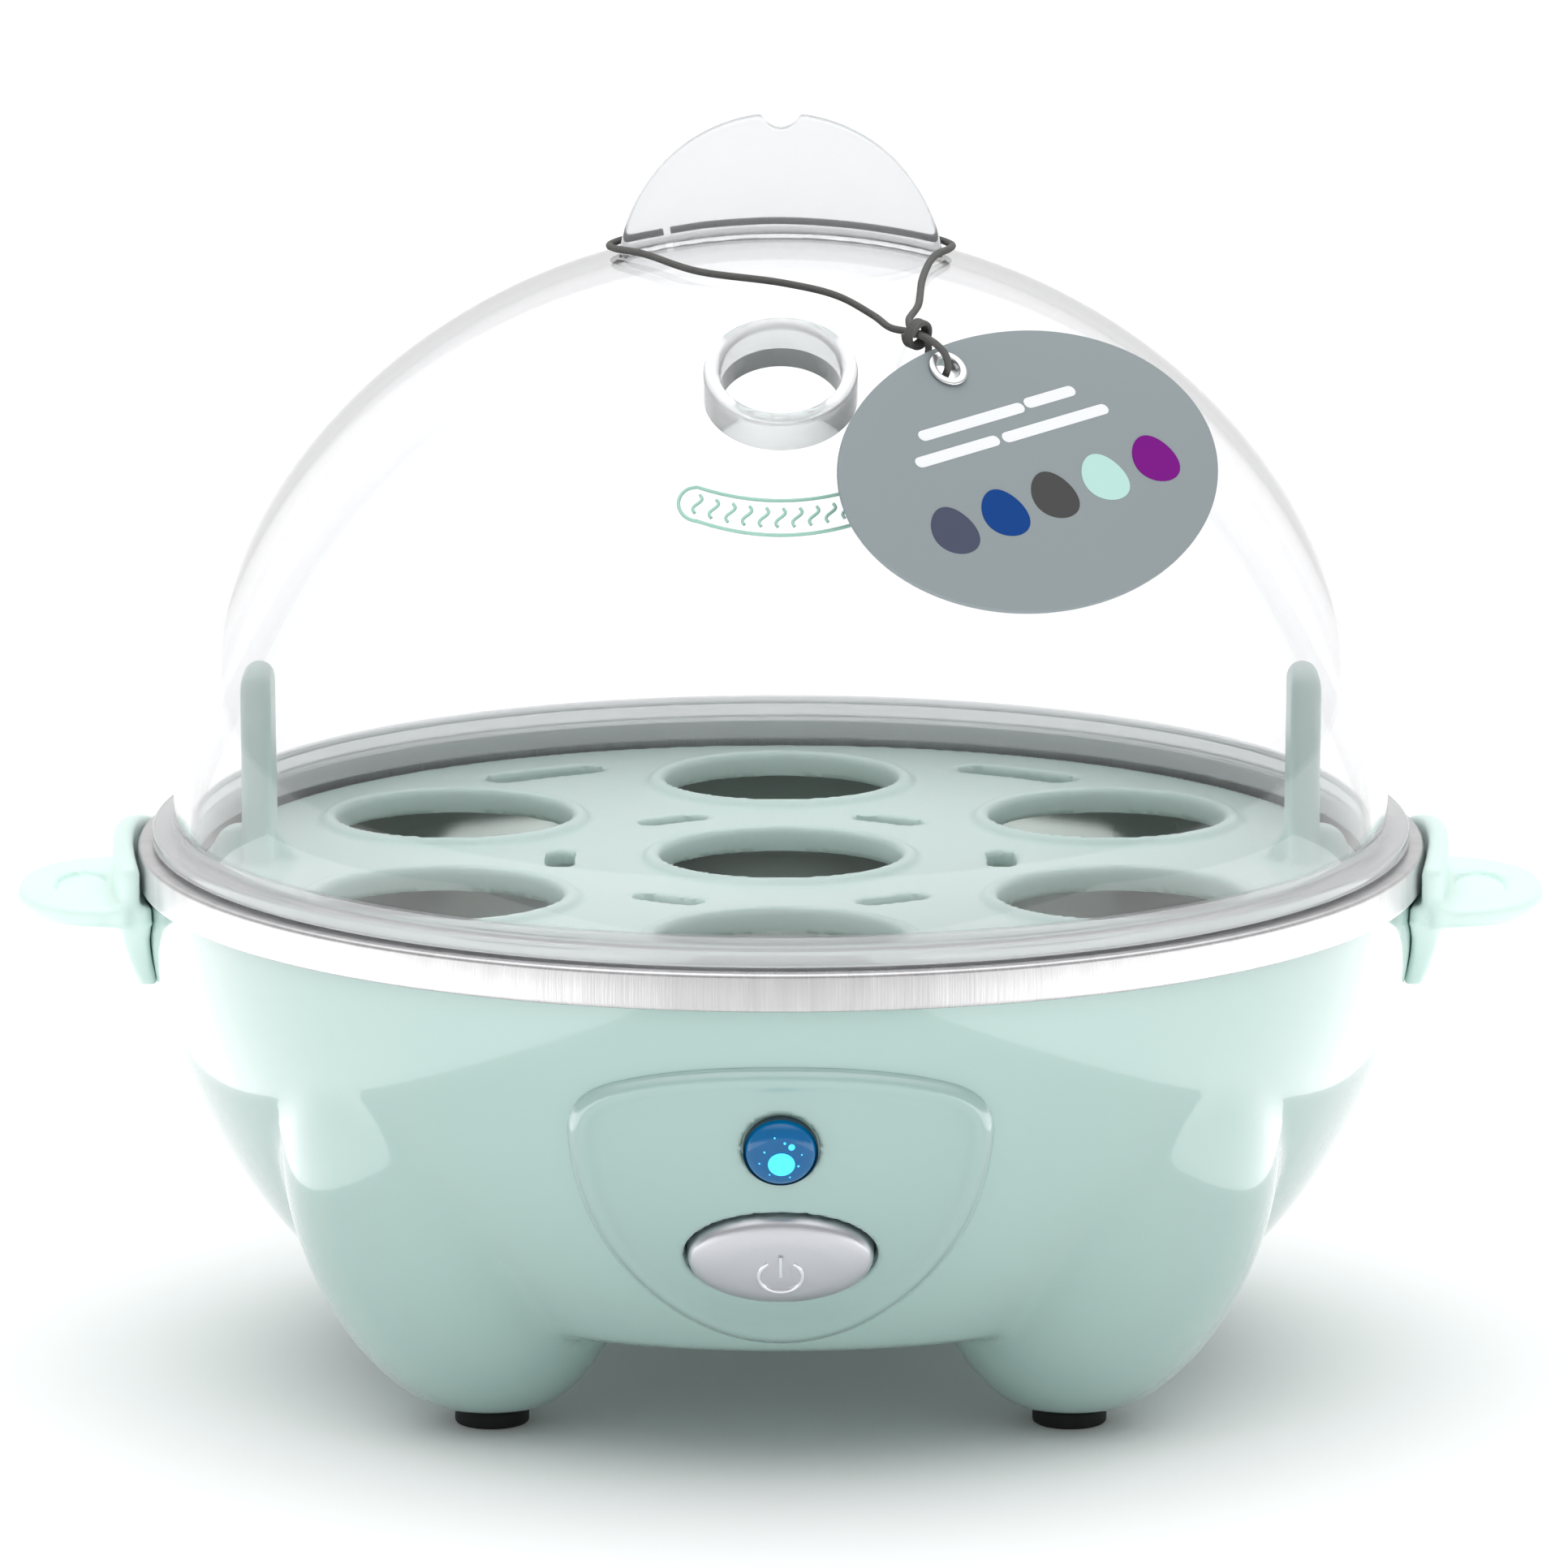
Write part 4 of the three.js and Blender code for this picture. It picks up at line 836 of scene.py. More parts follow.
def add_tag():
    card = add_card()
    eyelet = add_eyelet()
    knot = add_knot()
    route = smooth_route(STRING_PATH, 8)
    string = add_curve(
        "string_fine", route, STRING_R, FINISHES["tag_string"], "lid", instead_of=["tag_string"]
    )
    on_card = TAG_THICK / 2 + 0.01
    places = [(-15.64, -3.38), (-7.61, -3.85), (0.39, -4.27), (8.55, -4.74), (16.86, -5.12)]
    for (along, up), (label, material) in zip(places, CARD_DOTS):
        outline = egg_outline(along, up, 3.1, 3.4, math.radians(-17))
        add_print(f"card_dot_{label}", outline, TAG_FRAME, material, "lid", on_card)
    # Blank bars stand where a tag would carry its two lines of words.
    bars = [(-10.2, 4.6, 9.3, -0.1), (6.4, 12.8, 7.9, -0.1), (-13.2, -1.8, 6.3, -0.1), (0.2, 15.2, 4.9, -0.1)]
    for i, (start, end, up, slope) in enumerate(bars):
        thick = 0.75
        outline = []
        for k in range(7):
            angle = math.pi / 2 + math.pi * k / 6
            outline.append((start + thick * math.cos(angle), up + thick * math.sin(angle)))
        for k in range(7):
            angle = -math.pi / 2 + math.pi * k / 6
            outline.append((end + thick * math.cos(angle), up + slope * (end - start) + thick * math.sin(angle)))
        add_print(f"card_bar_{i + 1}", outline, TAG_FRAME, CARD_WHITE, "lid", on_card)


add_tag()


# ------------------------------------------------------------------ base shell


def ellipsoid(u, v, w, across, along):
    k0 = np.sqrt((u**2 + v**2) / across**2 + w**2 / along**2)
    k1 = np.sqrt((u**2 + v**2) / across**4 + w**2 / along**4)
    return k0 * (k0 - 1) / np.maximum(k1, 1e-6)


def bowl_field(x, y, z):
    """Signed distance, roughly, from the plain bowl's outer side."""
    r = np.sqrt(x**2 + y**2)
    below = np.maximum(BOWL_TOP - z, 0)
    k0 = np.sqrt((r / BOWL_R) ** 2 + (below / BOWL_DROP) ** 2)
    k1 = np.sqrt((r / BOWL_R**2) ** 2 + (below / BOWL_DROP**2) ** 2)
    return k0 * (k0 - 1) / np.maximum(k1, 1e-6)


def legs_field(x, y, z):
    nearest = None
    for azimuth in LEG_AZIMUTHS.values():
        c, s = math.cos(math.radians(azimuth)), math.sin(math.radians(azimuth))
        u = x * c + y * s - LEG_ROOT - LEG_LEAN * z
        v = y * c - x * s
        lobe = ellipsoid(u, v, z - LEG_CENTRE_Z, LEG_R, LEG_HALF_HEIGHT)
        nearest = lobe if nearest is None else np.minimum(nearest, lobe)
    return nearest


def oval_field(u, v, half_width, half_height):
    k0 = np.sqrt((u / half_width) ** 2 + (v / half_height) ** 2)
    k1 = np.sqrt((u / half_width**2) ** 2 + (v / half_height**2) ** 2)
    return k0 * (k0 - 1) / np.maximum(k1, 1e-6)


def shell_field(x, y, z):
    r = np.sqrt(x**2 + y**2)
    bowl = soft_max(bowl_field(x, y, z), BOWL_UNDER - z, 2.4)
    field = soft_min(bowl, legs_field(x, y, z), 0.8)
    inlet = np.maximum(np.sqrt(x**2 + (z - 27) ** 2) - 9, np.maximum(y - 73.6, 55 - y))
    field = soft_min(field, inlet, 1.5)
    field = soft_max(field, LEG_PAD_Z - z, 1.2)
    field = soft_max(field, z - NECK_TOP, 0.8)
    hollow = soft_max(r - 76.7, 59.2 - z, 0.5)
    well = soft_max(r - 72.4, 46 - z, 0.5)
    cover_seat = soft_max(r - 29.9, z - 16.6, 0.3)
    inlet_bore = np.maximum(np.sqrt(x**2 + (z - 27) ** 2) - 5.5, 58 - y)
    u, v, w = local(BUTTON_FRAME, x, y, z)
    button_hole = np.maximum(oval_field(u, v, BUTTON_HALF_WIDTH + 0.3, BUTTON_HALF_HEIGHT + 0.3), np.abs(w) - 9)
    for hole in (hollow, well, cover_seat, inlet_bore, button_hole):
        field = soft_max(field, -hole, 0.4)
    return field


def add_shell():
    points, faces = carved(shell_field, (-81, -81, 1), (81, 81, 67), 1.2)
    make_piece("shell_fine", points, faces, FINISHES["mint_shell"], "base", ["base_shell"], 50)


add_shell()


# ------------------------------------------------------------------ control panel, lamp and button


def cubic(p0, p1, p2, p3, count):
    for i in range(count):
        t = i / count
        yield tuple(
            (1 - t) ** 3 * a + 3 * (1 - t) ** 2 * t * b + 3 * (1 - t) * t**2 * c + t**3 * d
            for a, b, c, d in zip(p0, p1, p2, p3)
        )


def shield_outline(count=14):
    """The panel's outline seen from the front, as points (x, z)."""
    right = [
        ((0, 54.6), (9, 54.6), (15, 53.6), (19.6, 52.2)),
        ((19.6, 52.2), (24, 50.8), (25.6, 48.4), (25.3, 44.6)),
        ((25.3, 44.6), (24.8, 36.5), (21.4, 28.8), (15.6, 23.2)),
        ((15.6, 23.2), (10.6, 18.4), (5.6, 16.0), (0, 16.0)),
    ]
    half = [p for part in right for p in cubic(*part, count)]
    return half + [(0, 16.0)] + [(-x, z) for x, z in reversed(half[1:])]


SHIELD = np.array(shield_outline())


def shield_field(x, z):
    """Signed distance from the outline in the X-Z plane, negative inside."""
    best = np.full(np.shape(x), 1e9)
    inside = np.zeros(np.shape(x), bool)
    for (ax, az), (bx, bz) in zip(SHIELD, np.roll(SHIELD, -1, 0)):
        ex, ez = bx - ax, bz - az
        t = np.clip(((x - ax) * ex + (z - az) * ez) / (ex**2 + ez**2), 0, 1)
        best = np.minimum(best, (x - ax - t * ex) ** 2 + (z - az - t * ez) ** 2)
        if bz != az:
            crossing = ((az > z) != (bz > z)) & (x < ax + (z - az) * ex / ez)
            inside ^= crossing
    return np.where(inside, -1, 1) * np.sqrt(best)


def panel_field(x, y, z):
    edge = shield_field(x, z)
    height = bowl_field(x, y, z)
    # A soft bead runs round the border; the field inside it sits a little lower.
    bead = 1.0 * np.exp(-(((edge + 1.7) / 1.3) ** 2))
    top = height - (PANEL_PROUD - 0.85) - bead
    field = soft_max(top, edge, 1.3)
    field = np.maximum(field, -(height + PANEL_RECESS - 0.3))
    u, v, w = local(BUTTON_FRAME, x, y, z)
    field = soft_max(field, -oval_field(u, v, BUTTON_HALF_WIDTH + 0.35, BUTTON_HALF_HEIGHT + 0.35), 0.5)
    u, v, w = local(LAMP_FRAME, x, y, z)
    field = soft_max(field, LENS_R + 0.42 - np.sqrt(u**2 + v**2), 0.4)
    return np.maximum(field, y + 40)


def add_panel():
    points, faces = carved(panel_field, (-27, -81, 14), (27, -54, 57), 0.5)
    make_piece(
        "panel_fine", points, faces, FINISHES["panel_mint"], "base", ["control_panel"], 60
    )


def add_lens():
    dome = [[LENS_R * math.sin(a), 0.9 + 2.0 * math.cos(a)] for a in np.linspace(0, math.pi / 2, 14)]
    section = [*dome, [LENS_R, -3.3], [5.4, -3.6], [5.4, -5.2], [0, -5.2]]
    points, faces = turned(section, 64)
    make_piece(
        "lens_fine",
        moved(points, LAMP_FRAME),
        outward(points, faces),
        LENS_BLUE,
        "base",
        ["indicator_lens"],
    )
    # Facets of the lens catch its light: a glowing middle and flecks round it.
    flecks = [(0.1, -0.6, 1.6), (1.3, 1.6, 0.4), (0.5, 2.1, 0.16), (-1.9, 0.9, 0.13), (2.1, -1.0, 0.15)]
    flecks += [(-1.3, -2.2, 0.12), (1.1, -2.6, 0.13), (-2.5, -0.7, 0.12), (2.5, 0.5, 0.11), (-0.7, 2.7, 0.12)]
    for i, (x, y, size) in enumerate(flecks):
        height = 0.9 + 2.0 * math.sqrt(1 - (x**2 + y**2) / LENS_R**2)
        steep = 2.0 / LENS_R**2 / math.sqrt(1 - (x**2 + y**2) / LENS_R**2) * 2.0 / 2.0
        tilt = Vector((x * steep, y * steep, 1)).normalized().to_track_quat("Z", "Y").to_matrix().to_4x4()
        thick = 0.035
        glow = [[size * math.sin(a), thick * math.cos(a)] for a in np.linspace(0, math.pi, 9)]
        points, faces = turned(glow, 28)
        place = LAMP_FRAME @ Matrix.Translation((x, y, height)) @ tilt
        label = "lens_glow" if i == 0 else f"lens_fleck_{i}"
        make_piece(label, moved(points, place), outward(points, faces), LENS_CORE, "base")
    rim = [[LENS_R + 0.02, 0.6], [LENS_R + 0.3, 1.15], [LENS_R + 0.34, 0.2], [LENS_R + 0.02, -0.4]]
    points, faces = turned(rounded(rim, 0.1), 64)
    make_piece("lens_rim", moved(points, LAMP_FRAME), outward(points, faces), LENS_RIM, "base")


def add_button():
    section = rounded(
        [[0, 2.5], [3.5, 2.45], [7.5, 2.1], [10.2, 1.3], [11.1, 0.3], [11.15, -3.9], [12.5, -3.9]]
        + [[12.5, -5.1], [0, -5.1]],
        1.4,
    )
    points, faces = turned(section, 96, BUTTON_HALF_HEIGHT / BUTTON_HALF_WIDTH)
    make_piece(
        "button_fine",
        moved(points, BUTTON_FRAME),
        outward(points, faces),
        FINISHES["silver_button"],
        "button",
        ["button_cap"],
    )
    # The power mark: a broken ring with a bar in its gap, standing a hair above the cap.
    ring_r, wire, gap = 2.6, 0.3, math.radians(34)
    centre_y = -0.75

    def on_cap(x, y):
        reach = math.hypot(x, y * BUTTON_HALF_WIDTH / BUTTON_HALF_HEIGHT) / BUTTON_HALF_WIDTH
        return (x, y, 2.47 - 1.6 * reach**3.2)

    ring = []
    for i in range(49):
        angle = math.pi / 2 + gap + (TURN - 2 * gap) * i / 48
        ring.append(on_cap(ring_r * math.cos(angle), centre_y + ring_r * math.sin(angle)))
    stem = [on_cap(0, centre_y + 0.1 + 3.2 * i / 8) for i in range(9)]
    for label, route in (("ring", ring), ("bar", stem)):
        placed = moved(np.array(route), BUTTON_FRAME)
        add_curve(f"power_mark_{label}", placed, wire, MARK_METAL, "button")


SPRING_LOW = -9.5
SPRING_HIGH = -5.5


def add_spring():
    """The button's return spring, with flat end turns; it moves with the button and keeps its length when the button
    goes in.
    """
    wire, coil_r, turns, per_turn, sides = 0.35, 3.0, 2.5, 28, 10
    count = int(turns * per_turn)
    points = []
    for i in range(count + 1):
        angle = TURN * i / per_turn
        share = min(1, max(0, (i / per_turn - 0.5) / (turns - 1)))
        height = SPRING_LOW + wire + (SPRING_HIGH - SPRING_LOW - 2 * wire) * share
        for k in range(sides):
            turn = TURN * k / sides
            reach = coil_r + wire * math.cos(turn)
            points.append((reach * math.cos(angle), reach * math.sin(angle), height + wire * math.sin(turn)))
    faces = []
    for i in range(count):
        for k in range(sides):
            following = (k + 1) % sides
            near, far = i * sides, (i + 1) * sides
            faces.append([near + k, near + following, far + following, far + k])
    faces += [list(range(sides)), [count * sides + k for k in reversed(range(sides))]]
    points = np.array(points)
    spring = make_piece(
        "button_spring_fine",
        moved(points, BUTTON_FRAME),
        outward(points, faces),
        FINISHES["zinc_steel"],
        "button",
        ["button_spring"],
    )
    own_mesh(spring)


add_panel()
add_lens()
add_button()
add_spring()


# ------------------------------------------------------------------ band and dish


def add_round_pieces():
    band = rounded(
        [[79.4, 63], [79.4, 61.3], [80, 61.3], [80, 65.9], [75.6, 65.9], [75.6, 60.7], [76.3, 60.7]]
        + [[76.3, 65.1], [79.4, 65.1], [79.4, 63]],
        0.55,
    )[:-1]
    points, faces = turned(band, 240)
    make_piece(
        "band_fine", points, outward(points, faces), FINISHES["brushed_band"], "base", ["rim_band"]
    )
    dish = rounded(
        [[0, 50.3], [24, 50.3], [26, 50.9], [28, 50.3], [61.2, 50.3], [63.4, 51.4], [70, 60.3]]
        + [[75.2, 60.3], [75.2, 59.5], [70.4, 59.5], [64, 50.7], [61.5, 49.5], [0, 49.5]],
        1.4,
    )
    points, faces = turned(dish, 160)
    make_piece(
        "dish_fine", points, outward(points, faces), FINISHES["dish_steel"], "base", ["heating_dish"]
    )


add_round_pieces()


# ------------------------------------------------------------------ egg tray


def slot_field(x, y, radius, azimuth, length, width):
    """Distance from an arc-shaped slot."""
    turn = math.radians(azimuth)
    angle = np.arctan2(y, x) - turn
    angle = (angle + math.pi) % TURN - math.pi
    half = (length / 2) / radius
    clamped = np.clip(angle, -half, half)
    nx, ny = radius * np.cos(clamped + turn), radius * np.sin(clamped + turn)
    return np.hypot(x - nx, y - ny) - width / 2


def tray_field(x, y, z):
    r = np.hypot(x, y)
    field = soft_max(r - TRAY_R, np.abs(z - 61.8) - 1.2, 0.9)
    seats = [(0.0, 0.0)]
    for i in range(6):
        turn = math.radians(60 * i - 90)
        seats.append((SEAT_AT * math.cos(turn), SEAT_AT * math.sin(turn)))
    for sx, sy in seats:
        away = np.hypot(x - sx, y - sy)
        collar = soft_max(np.abs(away - SEAT_R - 1.1) - 0.9, np.abs(z - 62.6) - 1.3, 0.6)
        field = soft_min(field, collar, 0.8)
    for sx, sy in seats:
        field = soft_max(field, SEAT_R - np.hypot(x - sx, y - sy), 0.5)
    for i in range(6):
        azimuth = 60 * i - 60
        field = soft_max(field, -slot_field(x, y, 27.6, azimuth, 6, 3.6), 0.5)
        if azimuth % 180:
            field = soft_max(field, -slot_field(x, y, 62, azimuth, 12, 5), 0.5)
    mirrored = np.abs(x)
    height = np.clip((z - TRAY_HIGH) / (POST_TOP - TRAY_HIGH), 0, 1)
    blade = soft_max(np.abs(mirrored - POST_AT) - 1.9, np.abs(y) - (6 - 1.4 * height), 1.2)
    blade = soft_max(blade, z - POST_TOP + 0.35 * np.abs(y) ** 1.5 * 0.18, 2.5)
    blade = np.maximum(blade, TRAY_LOW + 0.5 - z)
    ear = np.hypot(mirrored - POST_AT - 2.6, z - 63.6) - 3.6
    ear = soft_max(ear, np.abs(y) - 2, 0.8)
    gusset = soft_max((POST_AT - 5.5 - mirrored) * 0.77 + (z - 62.5) * 0.62, np.abs(y) - 1.6, 0.6)
    gusset = np.maximum(gusset, mirrored - POST_AT)
    gusset = np.maximum(gusset, TRAY_LOW + 0.6 - z)
    for part in (blade, ear, gusset):
        field = soft_min(field, np.maximum(part, 61 - z), 0.8)
    return field


def add_tray():
    points, faces = carved(tray_field, (-74, -74, 59.5), (74, 74, 89.5), 0.75)
    make_piece("tray_fine", points, faces, FINISHES["pale_mint"], "tray", ["egg_tray"], 60)


add_tray()


# ------------------------------------------------------------------ clear lid


def dome_arc(inset, count=56):
    return [
        [(LID_R - inset) * math.sin(a), LID_BASE_Z + (LID_RISE - inset) * math.cos(a)]
        for a in np.linspace(0, math.pi / 2, count)
    ]


def boolean(target, tool, operation):
    modifier = target.modifiers.new(operation.lower(), "BOOLEAN")
    modifier.operation = operation
    modifier.solver = "EXACT"
    modifier.object = tool
    bpy.context.view_layer.update()
    shaped = bpy.data.meshes.new_from_object(target.evaluated_get(bpy.context.evaluated_depsgraph_get()))
    target.modifiers.clear()
    target.data = shaped
    bpy.data.objects.remove(tool)


def tool_object(points, faces):
    mesh = bpy.data.meshes.new("tool")
    mesh.from_pydata([tuple(float(v) * MM for v in p) for p in points], [], faces)
    tool = bpy.data.objects.new("tool", mesh)
    bpy.context.scene.collection.objects.link(tool)
    return tool


def add_lid():
    foot = rounded(
        [[LID_R, LID_BASE_Z], [LID_R, 68.1], [78.2, 68.1], [78.2, 66.2], [75.3, 66.2], [75.3, 63.6]]
        + [[73.5, 63.6], [73.5, LID_BASE_Z]],
        0.5,
    )
    section = [*dome_arc(0), *foot[1:-1], *reversed(dome_arc(LID_WALL))]
    points, faces = turned(section, 200)
    lid = make_piece(
        "lid_fine", points, outward(points, faces), FINISHES["clear_lid"], "lid", ["lid_dome"], 40
    )
    vent = dome_frame(VENT_SLOPE, 270)
    collar = [[0, 4.2], *rounded([[VENT_HOLE_R - 2, 4.2], [VENT_R, 4.2], [VENT_R, -0.9]], 0.9, 6)[1:], [0, -0.9]]
    points, faces = turned(collar, 72)
    boolean(lid, tool_object(moved(points, vent), outward(points, faces)), "UNION")
    mouth = [[VENT_HOLE_R + 1, 5.5], [VENT_HOLE_R + 1, 4.3], [VENT_HOLE_R + 0.55, 4.1], [VENT_HOLE_R + 0.2, 3.8]]
    bore = [[0, -9], [VENT_HOLE_R, -9], [VENT_HOLE_R, 3.3], *reversed(mouth), [0, 5.5]]
    points, faces = turned(bore, 72)
    boolean(lid, tool_object(moved(points, vent), outward(points, faces)), "DIFFERENCE")
    lid.data.set_sharp_from_angle(angle=math.radians(40))
    # The thick foot ring and the vent's collar are a little milky beside the thin dome.
    lid.data.materials.append(MILKY_CLEAR)
    into_vent = vent.inverted()
    for face in lid.data.polygons:
        middle = face.center / MM
        across = into_vent @ middle
        reach = math.hypot(across.x, across.y)
        in_collar = reach < VENT_R + 0.05 and across.z > -0.45
        in_bore = reach < VENT_HOLE_R + 0.05 and across.z > -3
        if middle.z < LID_BASE_Z or in_collar or in_bore:
            face.material_index = 1


def fin_field(x, y, z):
    disc = np.hypot(x, z - FIN_Z) - FIN_R
    field = soft_max(disc, np.abs(y) - FIN_HALF_THICK, 0.8)
    notch = 2.5 - np.hypot(x, z - (FIN_Z + FIN_R + 0.7))
    field = soft_max(field, notch, 0.5)
    r = np.hypot(x, y)
    k0 = np.sqrt((r / (LID_R - 0.5)) ** 2 + ((z - LID_BASE_Z) / (LID_RISE - 0.5)) ** 2)
    return np.maximum(field, (1 - k0) * 70)


def add_fin():
    points, faces = carved(fin_field, (-22, -3, 136), (22, 3, 158), 0.4)
    make_piece(
        "fin_fine", points, faces, FINISHES["frosted_fin"], "lid", ["lid_fin"], crease=60
    )


def on_dome(across, slope, lift=0.06):
    """A point on the lid's front: across in mm round the dome, and a slope in degrees down from its top."""
    angle = math.radians(slope)
    azimuth = math.radians(270) + across / (LID_R * math.sin(angle))
    r = (LID_R + lift) * math.sin(angle)
    return (r * math.cos(azimuth), r * math.sin(azimuth), LID_BASE_Z + (LID_RISE + lift) * math.cos(angle))


BANNER_HALF = 9.9
BANNER_HALF_SLOPE = 1.85


def banner_middle(across):
    """The banner's middle line sags a little between its ends, in degrees of slope."""
    return 49.75 - 1.35 * (across / BANNER_HALF) ** 2


def add_steam_mark():
    """A banner outline with rising-steam waves, printed below the vent."""
    outline = []
    for i in range(25):
        x = -BANNER_HALF + 2 * BANNER_HALF * i / 24
        outline.append((x, banner_middle(x) + BANNER_HALF_SLOPE))
    for i in range(1, 12):
        angle = math.pi / 2 - math.pi * i / 12
        end = BANNER_HALF + 2.3 * math.cos(angle)
        outline.append((end, banner_middle(BANNER_HALF) + BANNER_HALF_SLOPE * math.sin(angle)))
    outline += [(-x, 2 * banner_middle(x) - slope if abs(x) <= BANNER_HALF else slope) for x, slope in outline[:25]]
    for i in range(1, 12):
        angle = math.pi / 2 + math.pi * i / 12
        end = -BANNER_HALF + 2.3 * math.cos(angle)
        outline.append((end, banner_middle(BANNER_HALF) - BANNER_HALF_SLOPE * math.sin(angle)))
    route = [on_dome(x, slope) for x, slope in outline]
    add_curve("steam_banner", route, 0.22, STEAM_PRINT, "lid", closed=True)
    for i in range(11):
        middle = -9.9 + 1.98 * i
        wave = []
        for k in range(15):
            rise = -1.0 + 2.0 * k / 14
            sway = 0.4 * math.sin(TURN * k / 14) - 0.3 * rise
            wave.append(on_dome(middle + sway, banner_middle(middle) + rise))
        add_curve(f"steam_wave_{i + 1}", wave, 0.2, STEAM_PRINT, "lid")


add_lid()
add_fin()
add_steam_mark()


# ------------------------------------------------------------------ side handles


def handle_field(x, y, z):
    """The handle on the +X side: a D-shaped tab on a strap that stands off the band."""
    r = np.hypot(x, y)
    reach = 14.0
    across = np.abs(y) / 16.6
    tip = (x - 81) / reach
    tab = ((np.maximum(tip, 0) ** 2.3 + across**2.3) ** (1 / 2.3) - 1) * 12
    tab = soft_max(tab, np.abs(z - 58.75) - 1.25, 0.9)
    tab = np.maximum(tab, 80.6 - x)
    recess = oval_field(x - 87.2, y, 3.2, 7)
    tab = soft_max(tab, -soft_max(recess, 59.3 - z, 0.3), 0.35)
    # The strap's width narrows below the tab and rounds off at its top.
    width = np.where(z < 58, 5 + 11.5 * np.clip((z - 47.5) / 10.5, 0, 1) ** 1.6, 16.5)
    top = z - 67 + 0.012 * np.abs(y) ** 2.2 * 0.35
    wall = np.abs(r - 81.8) - 1.3
    wall = soft_max(wall, 59.5 - z, 0.6)
    lower_out = r - (80.1 + 3.2 * np.clip((z - 48.5) / 11, 0, 1) ** 0.8)
    lower_in = -(bowl_field(x, y, z) - 0.1)
    lower = soft_max(lower_out, lower_in, 0.4)
    lower = soft_max(lower, z - 60.2, 0.6)
    strap = soft_min(wall, lower, 0.8)
    strap = soft_max(strap, np.abs(y) - width, 1.0)
    strap = soft_max(strap, top, 1.0)
    strap = soft_max(strap, 47.8 - z, 0.8)
    whole = soft_min(tab, strap, 1.2)
    return np.maximum(whole, -np.maximum(r - 80.45, 60.9 - z))


def add_handles():
    points, faces = carved(handle_field, (77, -18, 46.5), (96, 18, 68.5), 0.5)
    for side, sign in (("right", 1), ("left", -1)):
        turned_points = points * (sign, sign, 1)
        make_piece(
            f"handle_{side}_fine",
            turned_points,
            faces,
            FINISHES["pale_mint"],
            "base",
            [f"side_handle_{side}"],
            60,
        )


add_handles()


# ------------------------------------------------------------------ underside and inlet


COVER_R = 29.6
COVER_LOW = 13.6
COVER_HIGH = 16.2
COVER_SCREW_AT = 24
COVER_SCREW_AZIMUTHS = (0, 90, 180, 270)
SCREW_SEAT_Z = 14.9
INLET_Z = 27


def add_feet():
    foot = rounded([[0, 0], [4.55, 0], [4.55, 2.1], [2.5, 2.1], [2.5, 6.3], [3.3, 6.3], [1.6, 8.4], [0, 8.4]], 0.5)
    for corner, azimuth in LEG_AZIMUTHS.items():
        points, faces = turned(foot, 48)
        angle = math.radians(azimuth)
        place = Matrix.Translation((FOOT_AT * math.cos(angle), FOOT_AT * math.sin(angle), 0))
        make_piece(
            f"foot_{corner}_fine",
            moved(points, place),
            outward(points, faces),
            FINISHES["black_rubber"],
            "base",
            [f"foot_{corner}"],
        )


def cover_field(x, y, z):
    """The round cover under the base: a raised rim and four screw wells."""
    r = np.hypot(x, y)
    under = COVER_LOW + 0.6 * np.clip(17 - r, 0, 1)
    field = soft_max(r - COVER_R, np.maximum(under - z, z - COVER_HIGH), 0.7)
    for azimuth in COVER_SCREW_AZIMUTHS:
        turn = math.radians(azimuth)
        away = np.hypot(x - COVER_SCREW_AT * math.cos(turn), y - COVER_SCREW_AT * math.sin(turn))
        field = soft_max(field, 1.7 - away, 0.2)
        field = soft_max(field, -soft_max(away - 3.4, z - SCREW_SEAT_Z - 0.3, 0.2), 0.3)
    return field


def add_cover():
    points, faces = carved(cover_field, (-31, -31, 12.5), (31, 31, 17.5), 0.45)
    make_piece(
        "bottom_cover_fine", points, faces, FINISHES["mint_shell"], "base", ["bottom_cover"], 60
    )


def cross_screw(name, place, head_r, head_height, shank_r, length, turn, node):
    """A pan-head screw with a cross recess; its head's inner face is at height zero of its frame."""

    def screw_field(x, y, z):
        r = np.hypot(x, y)
        head = soft_max(r - head_r, np.abs(z + head_height / 2) - head_height / 2, 0.6)
        c, s = math.cos(turn), math.sin(turn)
        u, v = np.abs(x * c + y * s), np.abs(y * c - x * s)
        slots = np.minimum(np.maximum(u - 0.62 * head_r, v - 0.3), np.maximum(v - 0.62 * head_r, u - 0.3))
        recess = np.maximum(slots, z + head_height * 0.35)
        head = soft_max(head, -recess, 0.12)
        # The thread is a wave that climbs once round in each pitch.
        pitch = 1.1
        wave = 0.14 * np.cos(TURN * z / pitch - np.arctan2(y, x))
        taper = shank_r * np.clip((length - z) / (1.5 * shank_r), 0.15, 1)
        shank = soft_max(r - np.minimum(shank_r - 0.12 + wave, taper), np.maximum(z - length, -z - 0.2), 0.2)
        return soft_min(head, shank, 0.15)

    reach = head_r + 0.5
    points, faces = carved(screw_field, (-reach, -reach, -head_height - 0.5), (reach, reach, length + 0.5), 0.16)
    make_piece(name, moved(points, place), faces, FINISHES["zinc_steel"], "base", [node], 50)


def add_screws():
    for i, azimuth in enumerate(COVER_SCREW_AZIMUTHS):
        angle = math.radians(azimuth)
        at = (COVER_SCREW_AT * math.cos(angle), COVER_SCREW_AT * math.sin(angle), SCREW_SEAT_Z)
        cross_screw(
            f"cover_screw_{i + 1}_fine", Matrix.Translation(at), 3, 1.1, 1.35, 9, 0.4 + 0.9 * i, f"cover_screw_{i + 1}"
        )


